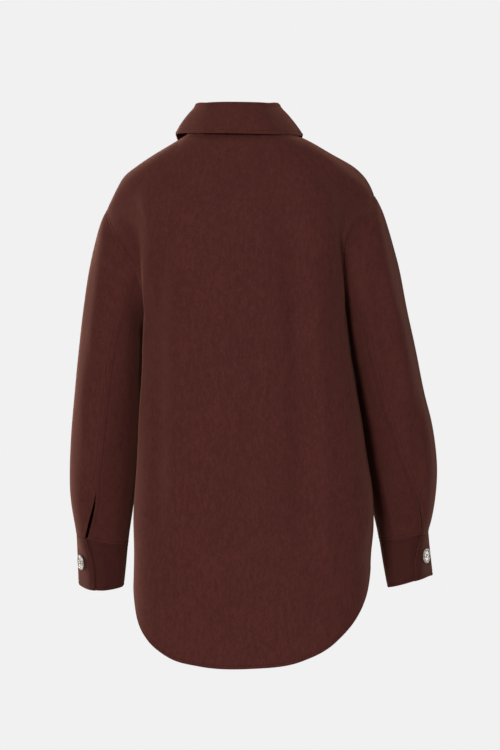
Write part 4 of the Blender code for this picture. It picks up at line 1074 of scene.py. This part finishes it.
def makeButtons():
    forward, spans, radius = np.array([0.0, -1.0, 0.0]), [], button["frontRadius"]
    grid = panelPoints("front", np.linspace(frontKnots[5], frontKnots[7], 17), np.linspace(0.08, 0.955, 701))
    grid = grid + forwardNormals(grid) * lapRise
    middle = grid.shape[1] // 2
    for k, height in enumerate(np.linspace(button["top"], button["low"], button["count"])):
        row = int(np.argmin(np.abs(grid[:, middle, 2] - height)))
        spans += makeButton(f"front_button_face_{k + 1}", f"front_button_{k + 1}",
                            *seat(grid, row, middle, forward, radius), radius, 7.0 * k)
    q = np.linspace(lapEnd, -lapEnd, 109)
    grid = bandGrid(q, np.linspace(0, 1, 41))
    column = int(np.argmin(np.abs(q + 0.5)))
    spans += makeButton("band_button_face", "band_button",
                        *seat(grid, len(grid) // 2, column, forward, radius), radius, 12.0)
    steps, rows, radius = 386, 40, button["cuffRadius"]
    for sideName, side in sides.items():
        grid = cuffGrid(sideName, np.linspace(0, 1, steps + 1), np.linspace(0, 1, rows + 1))
        behind = (cuff["edge"][sideName][0] - cuff["buttonTurn"]) * steps / (360 + cuff["lap"])
        row, column = round(rows * cuff["buttonDown"]), steps - round(behind)
        spans += makeButton("cuff_button_face_" + sideName, "cuff_button_" + sideName,
                            *seat(grid, row, column, np.array([side, 0.0, 0.0]), radius), radius, 20.0)
    makeThreads(spans)


makeBack()
makeFronts()
print("panels made")
for sideName in sides:
    makeSleeves(sideName)
    makeCuff(sideName)
print("sleeves made")
makeCollar()
makeButtons()
print("collar and buttons made")

studio = {
    "camera": (-0.015, 5.0, -0.3525), "frameHeight": 1.125, "plane": 0.02, "sensor": 36.0,
    "sky": (0.879, 0.879, 0.879), "ambient": 0.07, "aim": (0.0, 0.0, -0.35),
    "floorLevel": -1.2, "floorHalf": 1.15, "floorBack": -1.15,
    "floorTones": ((0.86, 0.86, 0.86), (0.88, 0.88, 0.88)), "floorRough": 0.8,
    "lamps": [
        # name, place, size, power, colour
        ("key", (1.2, 4.0, 0.45), (0.9, 1.1), 126.0, (1.0, 0.97, 0.94)),
        ("fill", (-2.2, 2.0, 1.3), (1.2, 1.2), 20.0, (0.96, 0.98, 1.0)),
        ("rimLeft", (2.3, -1.3, -0.4), (0.9, 1.8), 56.0, (1.0, 0.90, 0.82)),
        ("rimRight", (-2.2, -1.5, -0.4), (0.9, 1.8), 24.0, (1.0, 0.90, 0.82)),
        ("top", (0.6, 0.0, 2.2), (1.0, 0.8), 9.0, (1.0, 1.0, 1.0)),
        ("frontFill", (0.6, -3.2, 0.4), (1.6, 1.6), 62.0, (1.0, 1.0, 1.0)),
    ],
}


def aimed(thing, target):
    # turns a camera or lamp toward a point
    thing.rotation_euler = (Vector(target) - thing.location).to_track_quat("-Z", "Y").to_euler()


def makeStudio():
    camera = bpy.data.objects.new("camera", bpy.data.cameras.new("camera"))
    bpy.context.scene.collection.objects.link(camera)
    camera.location = studio["camera"]
    aimed(camera, (studio["camera"][0], 0.0, studio["camera"][2]))
    camera.data.sensor_fit = "VERTICAL"
    camera.data.sensor_height = studio["sensor"]
    camera.data.lens = studio["sensor"] * (studio["camera"][1] - studio["plane"]) / studio["frameHeight"]
    bpy.context.scene.camera = camera
    for name, place, (wide, high), power, colour in studio["lamps"]:
        lamp = bpy.data.lights.new(name, "AREA")
        lamp.shape, lamp.size, lamp.size_y, lamp.energy, lamp.color = "RECTANGLE", wide, high, power, colour
        holder = bpy.data.objects.new(name, lamp)
        bpy.context.scene.collection.objects.link(holder)
        holder.location = place
        aimed(holder, studio["aim"])
    world = bpy.data.worlds.new("sky")
    bpy.context.scene.world = world
    world.use_nodes = True
    tree = world.node_tree
    tree.nodes["Background"].inputs["Color"].default_value = (*studio["sky"], 1.0)
    seen = Wire(tree, tree.nodes.new("ShaderNodeLightPath").outputs["Is Camera Ray"])
    strength = seen * (1.0 - studio["ambient"]) + studio["ambient"]
    tree.links.new(strength.socket, tree.nodes["Background"].inputs["Strength"])
    # the floor ends behind the coat where the photo's view would come to it
    half, level, rear = studio["floorHalf"], studio["floorLevel"], studio["floorBack"]
    mesh = bpy.data.meshes.new("floor")
    corners = [(-half, rear, level), (half, rear, level), (half, half, level), (-half, half, level)]
    mesh.from_pydata(corners, [], [(0, 1, 2, 3)])
    floor = bpy.data.objects.new("floor", mesh)
    bpy.context.scene.collection.objects.link(floor)
    material, place, shader = startMaterial("floor", {"Roughness": studio["floorRough"]})
    feed(shader, Base_Color=place.noise(3.0).ramp(0.3, 0.7).mix(*studio["floorTones"]))
    mesh.materials.append(material)
    view = bpy.context.scene.view_settings
    view.view_transform, view.look, view.exposure, view.gamma = "Standard", "None", 0.0, 1.0


makeStudio()
print("studio made")
